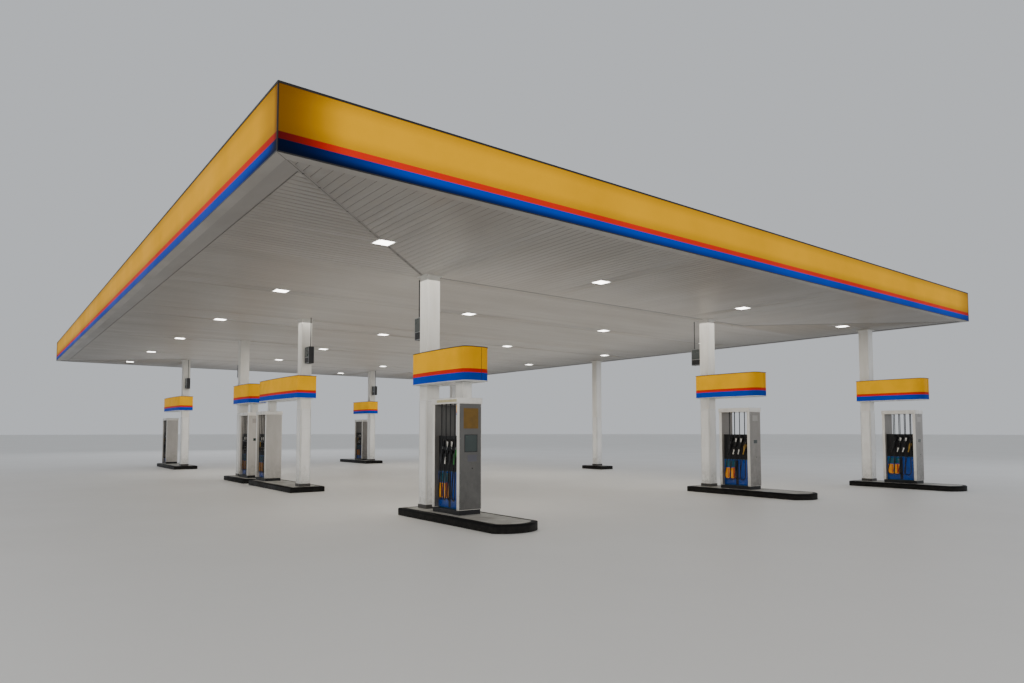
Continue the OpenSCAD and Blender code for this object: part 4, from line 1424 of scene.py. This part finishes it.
@dataclass
class Pumps:
    """Pump housings: doors, louvres, locks, plates, header rims, strain reliefs and bay partitions."""

    size: PumpSize
    repeats: Repeats
    door_t: float = 0.01
    door_gap: float = 0.012
    seam: float = 0.008
    sunk: float = 0.001
    skin: float = 0.004
    header_out: float = 0.012
    louvre_starts: tuple[float, ...] = (-0.36, 0.06)
    louvres: int = 6
    louvre_pitch: float = 0.016
    louvre_h: float = 0.007
    louvre_l: float = 0.3

    @property
    def frames(self) -> list[Matrix]:
        """The frame of every pump."""
        return [place.matrix(-place.pump) for place in LAYOUT.pumps]

    @property
    def faces(self) -> list[Matrix]:
        """The frame of every long face of every pump."""
        return [face for place in LAYOUT.pumps for face in self.size.faces(place)]

    def cabinets(self) -> None:
        """Builds the lower cabinets: a carcass, and two doors with louvres on each face."""
        s, put = self.size, self.repeats.put
        back = s.cabinet_x - self.door_t
        carcass = Shape()
        carcass.block((-back, -s.reach, s.plinth_top), (back, s.reach, s.cabinet_top - 0.002))
        put("cabinet_carcasses", carcass, self.frames, "pump_blue", PUMP_TEAL, "pump_cabinets")
        doors = Shape()
        bottom, top = s.plinth_top + self.door_gap, s.cabinet_top - self.door_gap
        for low, high in ((-s.reach + 0.004, -self.seam / 2), (self.seam / 2, s.reach - 0.004)):
            doors.block((back, low, bottom), (s.cabinet_x, high, top), edge=0.003, rounds=2)
        put("cabinet_doors", doors, self.faces, "pump_blue", PUMP_BLUE, "pump_cabinets")
        slats = Shape()
        near, far = s.cabinet_x - self.sunk, s.cabinet_x + 0.0016
        for low in self.louvre_starts:
            for i in range(self.louvres):
                z = s.plinth_top + 0.045 + i * self.louvre_pitch
                slats.block((near, low, z), (far, low + self.louvre_l, z + self.louvre_h), edge=0.0007)
        put("cabinet_louvres", slats, self.faces, "pump_blue", PUMP_BLUE)

    def door_trim(self) -> None:
        """Builds the coloured plates, the strips and the locks on the doors."""
        s = self.size
        near = s.cabinet_x - self.sunk
        # Each row: name, finish, how far it stands out, and the left, right, low and high edges of its plates.
        plates = (
            ("cabinet_teal_plates", PUMP_TEAL, 0.0012, ((-0.375, -0.03, 0.75, 0.925),)),
            ("cabinet_amber_plates", PUMP_AMBER, 0.0016, ((-0.37, -0.225, 0.43, 0.72), (-0.19, -0.035, 0.43, 0.72))),
            ("cabinet_red_strips", PUMP_RED, 0.0024, ((-0.275, -0.25, 0.45, 0.7), (-0.115, -0.075, 0.45, 0.735))),
            ("cabinet_dark_strips", MOULDED_BLACK, 0.0018, ((-0.028, 0.055, s.plinth_top + 0.02, 0.93),)),
        )
        for name, finish, proud, spots in plates:
            shape = Shape()
            for left, right, low, high in spots:
                shape.block((near, left, low), (s.cabinet_x + proud, right, high), edge=0.0005)
            self.repeats.put(name, shape, self.faces, "pump_blue", finish)
        locks = Shape()
        for y in (-0.06, 0.35):
            at = Matrix.Translation((near, y, 0.86)) @ spin(90, "Y")
            locks.turned([(0.013, 0.0), (0.013, 0.0018), (0.0105, 0.0024)], at, 20)
        self.repeats.put("cabinet_locks", locks, self.faces, "nozzle_cover", CAST_METAL)

    def panel_sheets(self) -> Shape:
        """Makes the plain sheets that lie on both faces of both end panels.

        Returns:
            The four sheets.
        """
        s = self.size
        shape = Shape()
        wide = s.half_w - 0.012
        for side in SIDES:
            for plane, way in ((side * s.half_l, -side), (side * s.reach, side)):
                near, far = sorted((plane, plane + way * self.skin * 1.5))
                shape.block((-wide, near, s.plinth_top + 0.01), (wide, far, s.panel_top - 0.006), edge=0.0015)
        return shape

    def panels(self) -> None:
        """Builds the end panels as folded frames with white edges and plain sheets on their faces."""
        s, frames = self.size, self.frames
        edges = Shape()
        for side in SIDES:
            near, far = sorted((side * s.half_l - side * self.skin, side * s.reach + side * self.skin))
            edges.block((-s.half_w, near, s.plinth_top), (s.half_w, far, s.panel_top), edge=0.004, rounds=2)
        self.repeats.put("end_panel_frames", edges, frames, "pump_white", PUMP_WHITE, "pump_end_panels")
        # One end-panel enamel in three tones: the beige and grey sheets are painted shade.
        for name, places, finish in (
            ("end_panel_sheets_first", frames[:1], PUMP_SHADED_GREY),
            ("end_panel_sheets_left", frames[1:4], PUMP_PALE),
            ("end_panel_sheets", frames[4:], PUMP_SHADED_BEIGE),
        ):
            self.repeats.put(name, self.panel_sheets(), places, "pump_white", finish, "pump_end_panels")

    def fittings(self) -> None:
        """Builds what is set in the outer end panels: more on the first pump than on the others."""
        front, put = -self.size.half_l, self.repeats.put
        first, others = self.frames[:1], self.frames[1:]
        # Each row: name, finish, pumps, its left, right, low and high edges, and how far it stands out.
        specs = (
            ("panel_upper_plate", PLATE_OCHRE, first, -0.156, 0.182, 1.79, 2.18, 0.002),
            ("panel_screen", SCREEN_GLASS, first, -0.125, 0.15, 1.35, 1.665, 0.003),
            ("panel_lower_plate", PLATE_GREY, first, -0.06, 0.15, 1.16, 1.29, 0.0015),
            ("panel_small_plates", PLATE_PALE, others, -0.12, 0.12, 2.02, 2.17, 0.002),
            ("panel_small_screens", SCREEN_GLASS, others, -0.08, 0.08, 1.41, 1.5, 0.002),
        )
        for name, finish, places, left, right, low, high, proud in specs:
            shape = Shape()
            shape.block((left, front - proud, low), (right, front + 0.004, high), edge=0.0012)
            put(name, shape, places, "pump_white", finish)
        bezel = Shape()
        outer = [(-0.135, 1.34), (0.16, 1.34), (0.16, 1.675), (-0.135, 1.675)]
        upright = Matrix(((1, 0, 0, 0), (0, 0, -1, front + self.sunk), (0, 1, 0, 0), (0, 0, 0, 1)))
        bezel.ring(outer, inset(outer, 0.01), [(0.0, 0.0), (0.0045, 0.0), (0.006, 0.003)], upright)
        put("panel_screen_bezel", bezel, first, "pump_black", MOULDED_BLACK)
        lock = Shape()
        at = Matrix.Translation((0.045, front + self.sunk, 1.03)) @ spin(90, "X")
        lock.turned([(0.014, 0.0), (0.014, 0.003), (0.0105, 0.005)], at, 20)
        put("panel_locks", lock, self.frames, "pump_black", MOULDED_BLACK)
        screws = Shape()
        for x in (-0.236, 0.236):
            for z in (0.3, 0.95, 1.6, 2.22):
                at = Matrix.Translation((x, front + self.sunk, z)) @ spin(90, "X")
                screws.turned([(0.006, 0.0), (0.006, 0.0012), (0.004, 0.0026)], at, 10)
        put("panel_screws", screws, self.frames, "pump_white", CAST_METAL)

    def headers(self) -> None:
        """Builds the headers with a rolled rim, and the strain relief of each hose under them."""
        s, put = self.size, self.repeats.put
        wide, long = s.half_w + self.header_out, s.half_l + self.header_out
        header = Shape()
        header.block((-wide, -long, s.panel_top), (wide, long, s.top), edge=0.008, rounds=3)
        put("pump_header_boxes", header, self.frames, "pump_white", PUMP_WHITE, "pump_headers")
        strip = Shape()
        strip.block((-wide - 0.001, -0.42, s.panel_top + 0.03), (-wide + 0.002, 0.3, s.top - 0.03), edge=0.0004)
        put("header_strip_first", strip, self.frames[:1], "pump_white", PLATE_STRAW)
        relief = Shape()
        profile = [(0.0115, 0.0), (0.0125, 0.004), (0.0118, 0.008), (0.013, 0.012), (0.0122, 0.016), (0.0136, 0.02)]
        relief.turned(profile + [(0.014, 0.022), (0.014, 0.04)], sides=16)
        outwards, aside = Matrix.Rotation(-s.turn, 4, "Z"), Matrix.Translation((0.0, s.hose_side, 0.0))
        spots = [
            face @ Matrix.Translation((s.nozzle_x, row, s.gland_z)) @ outwards @ aside
            for face in self.faces
            for row in s.rows
        ]
        put("hose_strain_reliefs", relief, spots, "pump_black", MOULDED_BLACK, "hose_glands")

    def bays(self) -> None:
        """Builds ribs between the nozzles and the rolled top of each bay."""
        s = self.size
        ribs = Shape()
        for i in range(5):
            y = (i - 2) * s.nozzle_pitch - s.nozzle_shift
            ribs.block((s.bay_x - 0.002, y - 0.006, 0.99), (s.bay_x + 0.012, y + 0.006, s.bay_top - 0.02), edge=0.002)
        low, high = (s.bay_x - 0.004, -s.reach, s.bay_top - 0.03), (s.bay_x + 0.01, s.reach, s.bay_top - 0.002)
        ribs.block(low, high, edge=0.004, rounds=2)
        self.repeats.put("bay_ribs", ribs, self.faces, "pump_black", MOULDED_BLACK)

    def build(self) -> None:
        """Builds the housings of all pumps."""
        self.cabinets()
        self.door_trim()
        self.panels()
        self.fittings()
        self.headers()
        self.bays()


# ---------------------------------------------------------------- signs


@dataclass
class Signs:
    """Bay signs: three lit bands on a bowed plan, with a base tray, a service hatch under it and a cap."""

    end_w: float = 0.56
    bow: float = 0.055
    near_r: float = 0.23
    tail_r: float = 0.09
    tail: float = 0.21
    low: float = 2.69
    levels: tuple[float, ...] = (2.706, 2.851, 2.926, 3.336)
    lip: float = 0.008
    rim: float = 0.05
    cap_t: float = 0.016
    # Share of light at the sign's end over the pump: painted shade on its rounded end.
    end_light_in_painted_shade: float = 0.66
    light_start: float = 0.02
    light_reach: float = 0.3
    corner_points: int = 8
    side_points: int = 24

    def side_x(self, length: float, y: float) -> float:
        """Works out half the width of the bowed plan.

        Args:
            length: the sign's length.
            y: place along it, counted from its middle.

        Returns:
            Half the width there.
        """
        half, sagitta = length / 2, self.bow
        bow_r = (half * half + sagitta * sagitta) / (2 * sagitta)
        return self.end_w / 2 + self.bow - bow_r + math.sqrt(bow_r**2 - y * y)

    def plan(self, length: float, out: float = 0.0) -> list[tuple[float, float]]:
        """Draws a sign's outline in its column's frame.

        Args:
            length: the sign's length.
            out: how far the outline is moved out.

        Returns:
            Its points, anticlockwise.
        """
        half, wide = length / 2, self.end_w / 2 + self.bow
        right = []
        for i in range(self.corner_points + 1):
            angle = math.pi / 2 * i / self.corner_points
            y = -half + self.near_r * (1 - math.cos(angle))
            right.append((min(wide - self.near_r * (1 - math.sin(angle)), self.side_x(length, y)), y))
        start, end = self.near_r - half, half - self.tail_r
        for i in range(1, self.side_points):
            y = start + (end - start) * i / self.side_points
            right.append((self.side_x(length, y), y))
        for i in range(self.corner_points + 1):
            angle = math.pi / 2 * (1 - i / self.corner_points)
            y = half - self.tail_r * (1 - math.cos(angle))
            right.append((min(wide - self.tail_r * (1 - math.sin(angle)), self.side_x(length, y)), y))
        middle = self.tail - half
        outline = right + [(-x, y) for x, y in reversed(right)]
        return inset([(x, y + middle) for x, y in outline], -out)

    def glow(self, length: float, y: float) -> float:
        """Returns the share of light at a point of a sign: painted shade makes it less at the rounded end over the
        pump.
        """
        inwards = (y - (self.tail - length) - self.light_start) / self.light_reach
        return self.end_light_in_painted_shade + (1 - self.end_light_in_painted_shade) * min(1.0, max(0.0, inwards))

    def band(self, name: str, number: int, slot: str, finish: Finish, node: str) -> None:
        """Builds one lit band of all signs.

        Args:
            name: the piece's name.
            number: the band's number, from below.
            slot: not used.
            finish: its finish.
            node: the CAD node that it replaces.
        """
        shape = Shape()
        values = []
        for place in LAYOUT.pumps:
            outline = self.plan(place.sign)
            shape.prism(outline, self.levels[number], self.levels[number + 1], place.matrix())
            # The glow attribute holds the lit share, with painted shade at the end over the pump.
            values += [self.glow(place.sign, y) for _, y in outline + outline]
        piece = shape.piece(name)
        glow = piece.data.attributes.new("glow", "FLOAT", "POINT")
        glow.data.foreach_set("value", values)
        settle(piece, slot, finish, node)

    def rims(self) -> None:
        """Builds the base trays with their hatches, the caps and the upright joint at the end over the pump."""
        base, cap, hatch, joints = Shape(), Shape(), Shape(), Shape()
        low, high = self.levels[0], self.levels[-1]
        for place in LAYOUT.pumps:
            at = place.matrix()
            outer, tray = self.plan(place.sign, self.lip), self.plan(place.sign, -self.rim)
            base.ring(outer, tray, [(self.low, 0.003), (self.low + 0.003, 0.0), (low, 0.0)], at)
            base.prism(tray, self.low + 0.006, low, at)
            cap.prism(outer, high, high + self.cap_t, at, 0.003)
            hatch.block((-0.16, -1.05, self.low + 0.001), (0.16, -0.35, self.low + 0.0065), at, 0.001)
            end = self.tail - place.sign
            joints.block((0.075, end - 0.0025, low), (0.083, end + 0.004, high), at, 0.001)
        settle(base.piece("sign_base_trays"), "column_white", SIGN_METAL, "sign_bases")
        settle(cap.piece("sign_cap_plates"), "pale_trim", CAP_COAT, "sign_caps")
        settle(hatch.piece("sign_service_hatches"), "column_white", BOARD_COAT)
        settle(joints.piece("sign_end_joints"), "dark_cap", CAP_COAT)

    def build(self) -> None:
        """Builds the signs."""
        self.band("sign_band_blue", 0, "lit_blue", SIGN_BLUE, "sign_blue_bands")
        self.band("sign_band_red", 1, "lit_red", SIGN_RED, "sign_red_bands")
        self.band("sign_face_yellow", 2, "lit_yellow", SIGN_YELLOW, "sign_yellow_faces")
        self.rims()


# ---------------------------------------------------------------- canopy


@dataclass
class Lining:
    """Soffit lining: roll-formed boards with open joints under a backing sheet, cut round lamps and columns."""

    repeats: Repeats
    pitch: float = 0.15
    field_gap: float = 0.014
    end_gap: float = 0.008
    fold: float = 0.0025
    low: float = 5.0075
    high: float = 5.0118
    border: float = 0.27
    lamp_hole: float = 0.35
    column_gap: float = 0.002
    past: float = 0.05

    def board(self, length: float, counted: Along, gap: float) -> Piece:
        """Makes one board with its long edges turned up.

        Args:
            length: its length.
            counted: the axis that the boards are counted along.
            gap: width of the open joint beside it.

        Returns:
            The board, round the origin.
        """
        half, width = length / 2, (self.pitch - gap) / 2
        slim = width - self.fold
        section = [(-width, self.high), (-slim, self.low), (slim, self.low), (width, self.high)]
        shape = Shape()
        rings = []
        for end in (-half, half):
            points = [(end, across, z) if counted is Along.Y else (across, end, z) for across, z in section]
            rings.append([shape.mesh.verts.new(p) for p in points])
        for i in range(4):
            j = (i + 1) % 4
            shape.mesh.faces.new((rings[0][i], rings[0][j], rings[1][j], rings[1][i]))
        shape.mesh.faces.new(rings[0])
        shape.mesh.faces.new(rings[1][::-1])
        return shape.piece("board")

    def holes(self) -> Piece:
        """Makes the blocks that cut the boards round lamps and columns.

        Returns:
            The blocks, as one piece.
        """
        shape = Shape()
        low, high = self.low - self.past, self.high + self.past
        columns = [(place.x, place.y) for place in LAYOUT.columns]
        for spots, half in ((LAYOUT.lamps, self.lamp_hole / 2), (columns, LAYOUT.column_w / 2 + self.column_gap)):
            for x, y in spots:
                shape.block((x - half, y - half, low), (x + half, y + half, high))
        return shape.piece("holes")

    def ends(self, margin: float) -> Piece:
        """Makes the two end areas, where the boards run the other way.

        Args:
            margin: how much larger they are made.

        Returns:
            The areas as blocks, as one piece.
        """
        shape = Shape()
        far, near = LAYOUT.inner_l + 1.0, LAYOUT.band_y - margin
        wide = LAYOUT.inner_w - (LAYOUT.inner_l - far) + margin
        slim = LAYOUT.inner_w - (LAYOUT.inner_l - near) + margin
        front = [(-wide, -far), (wide, -far), (slim, -near), (-slim, -near)]
        rear = [(-x, -y) for x, y in front]
        for outline in (front, rear):
            shape.prism(outline, self.low - self.past, self.high + self.past)
        return shape.piece("ends")

    def cut(self, boards: Piece, cutter: Piece, how: str) -> Piece:
        """Cuts boards with blocks, or keeps what lies in them.

        Args:
            boards: the boards. They are removed from the scene.
            cutter: the blocks.
            how: "DIFFERENCE" or "INTERSECT".

        Returns:
            The cut boards, under the same name.
        """
        modifier = boards.modifiers.new("cut", "BOOLEAN")
        modifier.operation = how
        modifier.solver = "EXACT"
        modifier.object = cutter
        return solid_copy(boards, boards.name)

    def field(self, holes: Piece) -> None:
        """Builds the boards of the field, which run across the canopy.

        Args:
            holes: the blocks round lamps and columns.
        """
        count = int(2 * (LAYOUT.inner_l - self.border) / self.pitch)
        start, step = (0.0, -self.pitch * (count - 1) / 2, 0.0), (0.0, self.pitch, 0.0)
        board = self.board(2 * (LAYOUT.inner_w - self.border), Along.Y, self.field_gap)
        boards = self.repeats.row("soffit_boards_field", board, count, start, step, LINING_X)
        ends = self.ends(self.end_gap)
        boards = self.cut(self.cut(boards, ends, "DIFFERENCE"), holes, "DIFFERENCE")
        bpy.data.objects.remove(ends)
        settle(boards, "soffit_white", LINING_X)

    def bands(self, holes: Piece) -> None:
        """Builds the boards of both ends, which run from the front to the rear.

        Args:
            holes: the blocks round lamps and columns.
        """
        ends = self.ends(0.0)
        depth = LAYOUT.inner_l - LAYOUT.band_y
        count = int(2 * LAYOUT.inner_w / self.pitch)
        first = -self.pitch * (count - 1) / 2
        for side, name in zip(SIDES, ("soffit_boards_front", "soffit_boards_rear")):
            start, step = (first, side * (LAYOUT.inner_l - depth / 2), 0.0), (self.pitch, 0.0, 0.0)
            board = self.board(depth - self.end_gap, Along.X, self.end_gap)
            boards = self.repeats.row(name, board, count, start, step, LINING_Y)
            boards = self.cut(self.cut(boards, ends, "INTERSECT"), holes, "DIFFERENCE")
            settle(boards, "soffit_white", LINING_Y)
        bpy.data.objects.remove(ends)

    def build(self) -> None:
        """Builds the boards of the field and of both ends."""
        holes = self.holes()
        self.field(holes)
        self.bands(holes)
        bpy.data.objects.remove(holes)


@dataclass
class Fixings:
    """Small fixings: screws, bolts, corner angles, sealed joints, board frames, and the fronts of the hung boxes."""

    repeats: Repeats
    angle_leg: float = 0.014
    angle_proud: float = 0.0055
    angle_sunk: float = 0.0005
    angle_low: float = 5.02
    angle_high: float = 5.832
    seam_half: float = 0.0055
    seam_in: float = 0.04
    seam_past: float = 0.06
    seam_z: float = 5.005
    seam_t: float = 0.002
    rim_in: float = 0.015
    rim_z: float = 4.999
    rim_t: float = 0.0013
    border: float = 0.27
    border_end: float = 0.33
    border_z: tuple[float, float] = (5.007, 5.0122)
    mitre_count: int = 13
    mitre_first: float = 0.35
    mitre_pitch: float = 0.36
    mitre_z: float = 5.0062
    trim_pitch: float = 0.4
    trim_in: float = 0.08
    trim_z: float = 5.0025
    board_out: float = 0.008
    frame_half: float = 0.136
    frame_low: float = 0.25
    frame_high: float = 2.36
    frame_bar: float = 0.012
    joint_heights: tuple[float, ...] = (0.78, 1.3, 1.82)
    bolt_out: float = 0.172
    roof_across: int = 12
    roof_deep: int = 88
    rib_h: float = 0.03
    box_y: float = 0.35
    box_low: float = 3.69
    box_high: float = 4.17
    box_face: tuple[float, float] = (0.0735, 0.079)
    slats: int = 7

    def corner_angles(self) -> None:
        """Builds the dark angles that close the four corners of the fascia."""
        shape = Shape()
        leg, proud = self.angle_leg, self.angle_proud
        for side_x, side_y in CORNERS:
            x, y = side_x * (LAYOUT.half_w - self.angle_sunk), side_y * (LAYOUT.half_l - self.angle_sunk)
            for wide, start, end in ((leg, 0.0, proud), (proud, proud, leg)):
                left, right = sorted((x, x - side_x * wide))
                front, back = sorted((y - side_y * start, y - side_y * end))
                shape.block((left, front, self.angle_low), (right, back, self.angle_high), edge=0.001)
        settle(shape.piece("fascia_corner_angles"), "dark_cap", CAP_COAT)

    def seams(self) -> None:
        """Builds the dark sealed joints along the mitres and beside the plain borders of the lining."""
        shape = Shape()
        half = self.seam_half
        start = LAYOUT.inner_w - self.seam_in
        end = LAYOUT.inner_w - (LAYOUT.inner_l - LAYOUT.band_y) + self.seam_past
        reach, outer = (start - end) * math.sqrt(2), (LAYOUT.half_w - LAYOUT.inner_w) * math.sqrt(2)
        for side_x in SIDES:
            for side_y in SIDES:
                inwards = Matrix.Rotation(math.atan2(-side_y, -side_x), 4, "Z")
                at = Matrix.Translation((side_x * start, side_y * (LAYOUT.inner_l - self.seam_in), self.seam_z))
                shape.block((0.0, -half, 0.0), (reach, half, self.seam_t), at @ inwards)
                x, y = side_x * (LAYOUT.half_w - self.rim_in), side_y * (LAYOUT.half_l - self.rim_in)
                at = Matrix.Translation((x, y, self.rim_z))
                shape.block((0.0, -half, 0.0), (outer, half, self.rim_t), at @ inwards)
            x, y = side_x * (LAYOUT.inner_w - self.border), LAYOUT.inner_l - self.border_end
            shape.block((x - half, -y, self.border_z[0]), (x + half, y, self.border_z[1]))
        settle(shape.piece("lining_seams"), "soffit_white", SEAM_COAT)

    def mitre_screws(self) -> None:
        """Builds the screws along the mitred cover strips of the lining."""
        places = []
        for i in range(self.mitre_count):
            run = self.mitre_first + i * self.mitre_pitch
            x, y = LAYOUT.inner_w - run, LAYOUT.inner_l - run
            places += [Matrix.Translation((sx * x, sy * y, self.mitre_z)) @ spin(180, "X") for sx, sy in CORNERS]
        screw = Shape()
        screw.turned([(0.016, 0.0), (0.016, 0.002), (0.01, 0.0045)], sides=10)
        self.repeats.put("mitre_screws", screw, places, "soffit_white", CAP_COAT)

    def retainer_screws(self) -> None:
        """Builds the screws along the trim under the fascia."""
        places = []
        for half, other, axis in ((LAYOUT.half_w, LAYOUT.half_l, Along.X), (LAYOUT.half_l, LAYOUT.half_w, Along.Y)):
            count = int(2 * half / self.trim_pitch)
            for i in range(count):
                along = (i - (count - 1) / 2) * self.trim_pitch
                for side in SIDES:
                    across = side * (other - self.trim_in)
                    x, y = (along, across) if axis is Along.X else (across, along)
                    places.append(Matrix.Translation((x, y, self.trim_z)) @ spin(180, "X"))
        screw = Shape()
        screw.turned([(0.006, 0.0), (0.006, 0.001), (0.0035, 0.0022)], sides=8)
        self.repeats.put("trim_screws", screw, places, "pale_trim", BORDER_COAT)

    def board_frames(self) -> None:
        """Builds slim frames round the bare boards on the columns, and the boards' joints."""
        shape = Shape()
        half, out, bar = self.frame_half, LAYOUT.column_w / 2 + self.board_out, self.frame_bar
        low, high = self.frame_low, self.frame_high
        for left, right, bottom, top in (
            (-half, half, low, low + bar),
            (-half, half, high - bar, high),
            (-half, -half + bar, low + bar, high - bar),
            (half - bar, half, low + bar, high - bar),
        ):
            shape.block((out - 0.002, left, bottom), (out + 0.004, right, top), edge=0.001)
        for z in self.joint_heights:
            shape.block((out - 0.002, -half + bar, z), (out + 0.001, half - bar, z + 0.004))
        places = [place.matrix() @ spin(turn) for place in LAYOUT.columns for turn in (0, 90, 180, 270)]
        self.repeats.put("column_board_frames", shape, places, "board_white", SIGN_METAL)

    def collar_bolts(self) -> None:
        """Builds the bolts in the collar plates at the column heads."""
        low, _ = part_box("column_collars")
        places = [
            place.matrix() @ Matrix.Translation((sx * self.bolt_out, sy * self.bolt_out, low.z)) @ spin(180, "X")
            for place in LAYOUT.columns
            for sx, sy in CORNERS
        ]
        bolt = Shape()
        bolt.turned([(0.011, -0.002), (0.011, 0.002)], sides=20)
        bolt.turned([(0.009, 0.002), (0.009, 0.008), (0.0075, 0.0095)], sides=6)
        self.repeats.put("collar_bolts", bolt, places, "column_white", CAST_METAL)

    def roof_screws(self) -> None:
        """Builds the sealed screws that hold the roof deck to the purlins."""
        low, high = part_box("roof_deck")
        places = []
        for i in range(self.roof_across):
            x = low.x + (i + 0.5) * (high.x - low.x) / self.roof_across
            for j in range(self.roof_deep):
                y = low.y + (j + 0.5) * (high.y - low.y) / self.roof_deep
                places.append(Matrix.Translation((x, y, low.z + self.rib_h)))
        screw = Shape()
        screw.turned([(0.011, 0.0), (0.011, 0.002), (0.006, 0.003), (0.005, 0.007)], sides=8)
        self.repeats.put("roof_screws", screw, places, "galvanised", ROOF_ZINC)

    def hung_boxes(self) -> None:
        """Builds the fronts, grilles and frames of the boxes that hang beside the columns."""
        places = [place.matrix() for place in LAYOUT.left + LAYOUT.middle]
        middle, low, high = self.box_y, self.box_low, self.box_high
        slats, bars, panels = Shape(), Shape(), Shape()
        for side in SIDES:
            near, far = sorted(side * x for x in self.box_face)
            for i in range(self.slats):
                z = low + 0.035 + i * 0.016
                slats.block((near, middle - 0.13, z), (far, middle + 0.13, z + 0.007))
            panels.block((near, middle - 0.144, low + 0.179), (far, middle + 0.144, high - 0.015))
            for bottom in (low + 0.001, low + 0.165, high - 0.013):
                bars.block((near, middle - 0.158, bottom), (far, middle + 0.158, bottom + 0.012))
            for y in (middle - 0.158, middle + 0.146):
                bars.block((near, y, low + 0.013), (far, y + 0.012, high - 0.013))
        self.repeats.put("box_fronts", panels, places, "box_dark", BOX_PANEL)
        self.repeats.put("box_grilles", slats, places, "box_dark", BOX_PLASTIC)
        self.repeats.put("box_frames", bars, places, "box_dark", TRIM_METAL)

    def build(self) -> None:
        """Builds all fixings."""
        self.corner_angles()
        self.seams()
        self.mitre_screws()
        self.retainer_screws()
        self.board_frames()
        self.collar_bolts()
        self.roof_screws()
        self.hung_boxes()


@dataclass
class Islands:
    """Pump islands: cast kerbs with rounded edges. The one without a pump is a small oblong."""

    half_w: float = 0.5
    tail: float = 0.4
    bulge: float = 0.25
    kerb_w: float = 0.11
    height: float = 0.15
    small_w: float = 0.35
    small_l: float = 0.65
    points: int = 16

    def plan(self, nose: float, margin: float) -> list[tuple[float, float]]:
        """Draws the outline of an island in its column's frame.

        Args:
            nose: how far its nose reaches from the column.
            margin: how far the outline is drawn in.

        Returns:
            Its points, anticlockwise.
        """
        nose_r = (self.half_w * self.half_w + self.bulge * self.bulge) / (2 * self.bulge)
        half, middle, radius = self.half_w - margin, nose_r - nose, nose_r - margin
        limit = math.asin(half / radius)
        angles = [limit * (2 * i / self.points - 1) for i in range(self.points + 1)]
        arc = [(radius * math.sin(a), middle - radius * math.cos(a)) for a in angles]
        return arc + [(half, self.tail - margin), (-half, self.tail - margin)]

    def build(self) -> None:
        """Builds the kerbs."""
        shape = Shape()
        top = self.height
        levels = [(0.0, 0.0), (top - 0.022, 0.0), (top - 0.008, 0.005), (top, 0.02)]
        for place in LAYOUT.pumps:
            shape.ring(self.plan(place.nose, 0.0), self.plan(place.nose, self.kerb_w), levels, place.matrix())
        wide, long = self.small_w, self.small_l
        small = [(-wide, -long), (wide, -long), (wide, long), (-wide, long)]
        shape.ring(small, inset(small, self.kerb_w), levels, LAYOUT.columns[-1].matrix())
        settle(shape.piece("island_kerb_stones", sharp=50.0), "kerb_black", KERB_PAINT, "island_kerbs")


# The CAD nodes that stay in view, by finish.
CARRIED: tuple[tuple[Finish, tuple[str, ...]], ...] = (
    (FASCIA_YELLOW, ("fascia_front", "fascia_right", "fascia_rear", "fascia_left")),
    (FASCIA_RED, ("fascia_red_bands",)),
    (FASCIA_BLUE, ("fascia_blue_bands",)),
    (CAP_COAT, ("fascia_caps",)),
    (TRIM_COAT, ("fascia_trims",)),
    (ZINC, ("fascia_trays", "fascia_stays", "roof_beams", "roof_purlins", "roof_gutters")),
    # The backing sheets are dark as painted shade in the open joints.
    (BACKING_PAINTED_SHADE, ("soffit_field", "soffit_front", "soffit_rear")),
    (BORDER_COAT, ("soffit_borders", "soffit_strips")),
    (LAMP_ENAMEL, ("lamp_housings", "lamp_frames")),
    (LENS, ("lamp_lenses",)),
    (ROOF_ZINC, ("roof_deck",)),
    (COLUMN_COAT, ("columns_left", "columns_middle", "columns_right", "column_collars", "sign_stub_posts")),
    (BOARD_COAT, ("column_boards",)),
    (SKIRT_COAT, ("column_skirts",)),
    (PAVING, ("island_paving",)),
    (MOULDED_BLACK, ("pump_plinths", "nozzle_bays", "nozzle_boots")),
    (BOX_PLASTIC, ("hanging_boxes", "hanging_rods")),
    (TRIM_METAL, ("hanging_brackets",)),
)


def carry_over() -> None:
    """Gives each CAD node that stays in view its finish."""
    for finish, nodes in CARRIED:
        for node in nodes:
            dress(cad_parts[node], finish)
            LOG.info("%s: %s", node, finish.name)


def main() -> None:
    """Builds the studio, the hoses and every other sub-assembly."""
    logging.basicConfig(level=logging.INFO, format="%(message)s")
    size = PumpSize()
    Studio().build()
    repeats = Repeats()
    Hoses(size, repeats).build()
    carry_over()
    Lining(repeats).build()
    Fixings(repeats).build()
    Islands().build()
    Pumps(size, repeats).build()
    Nozzles(size, repeats).build()
    Signs().build()


if __name__ == "__main__":
    main()
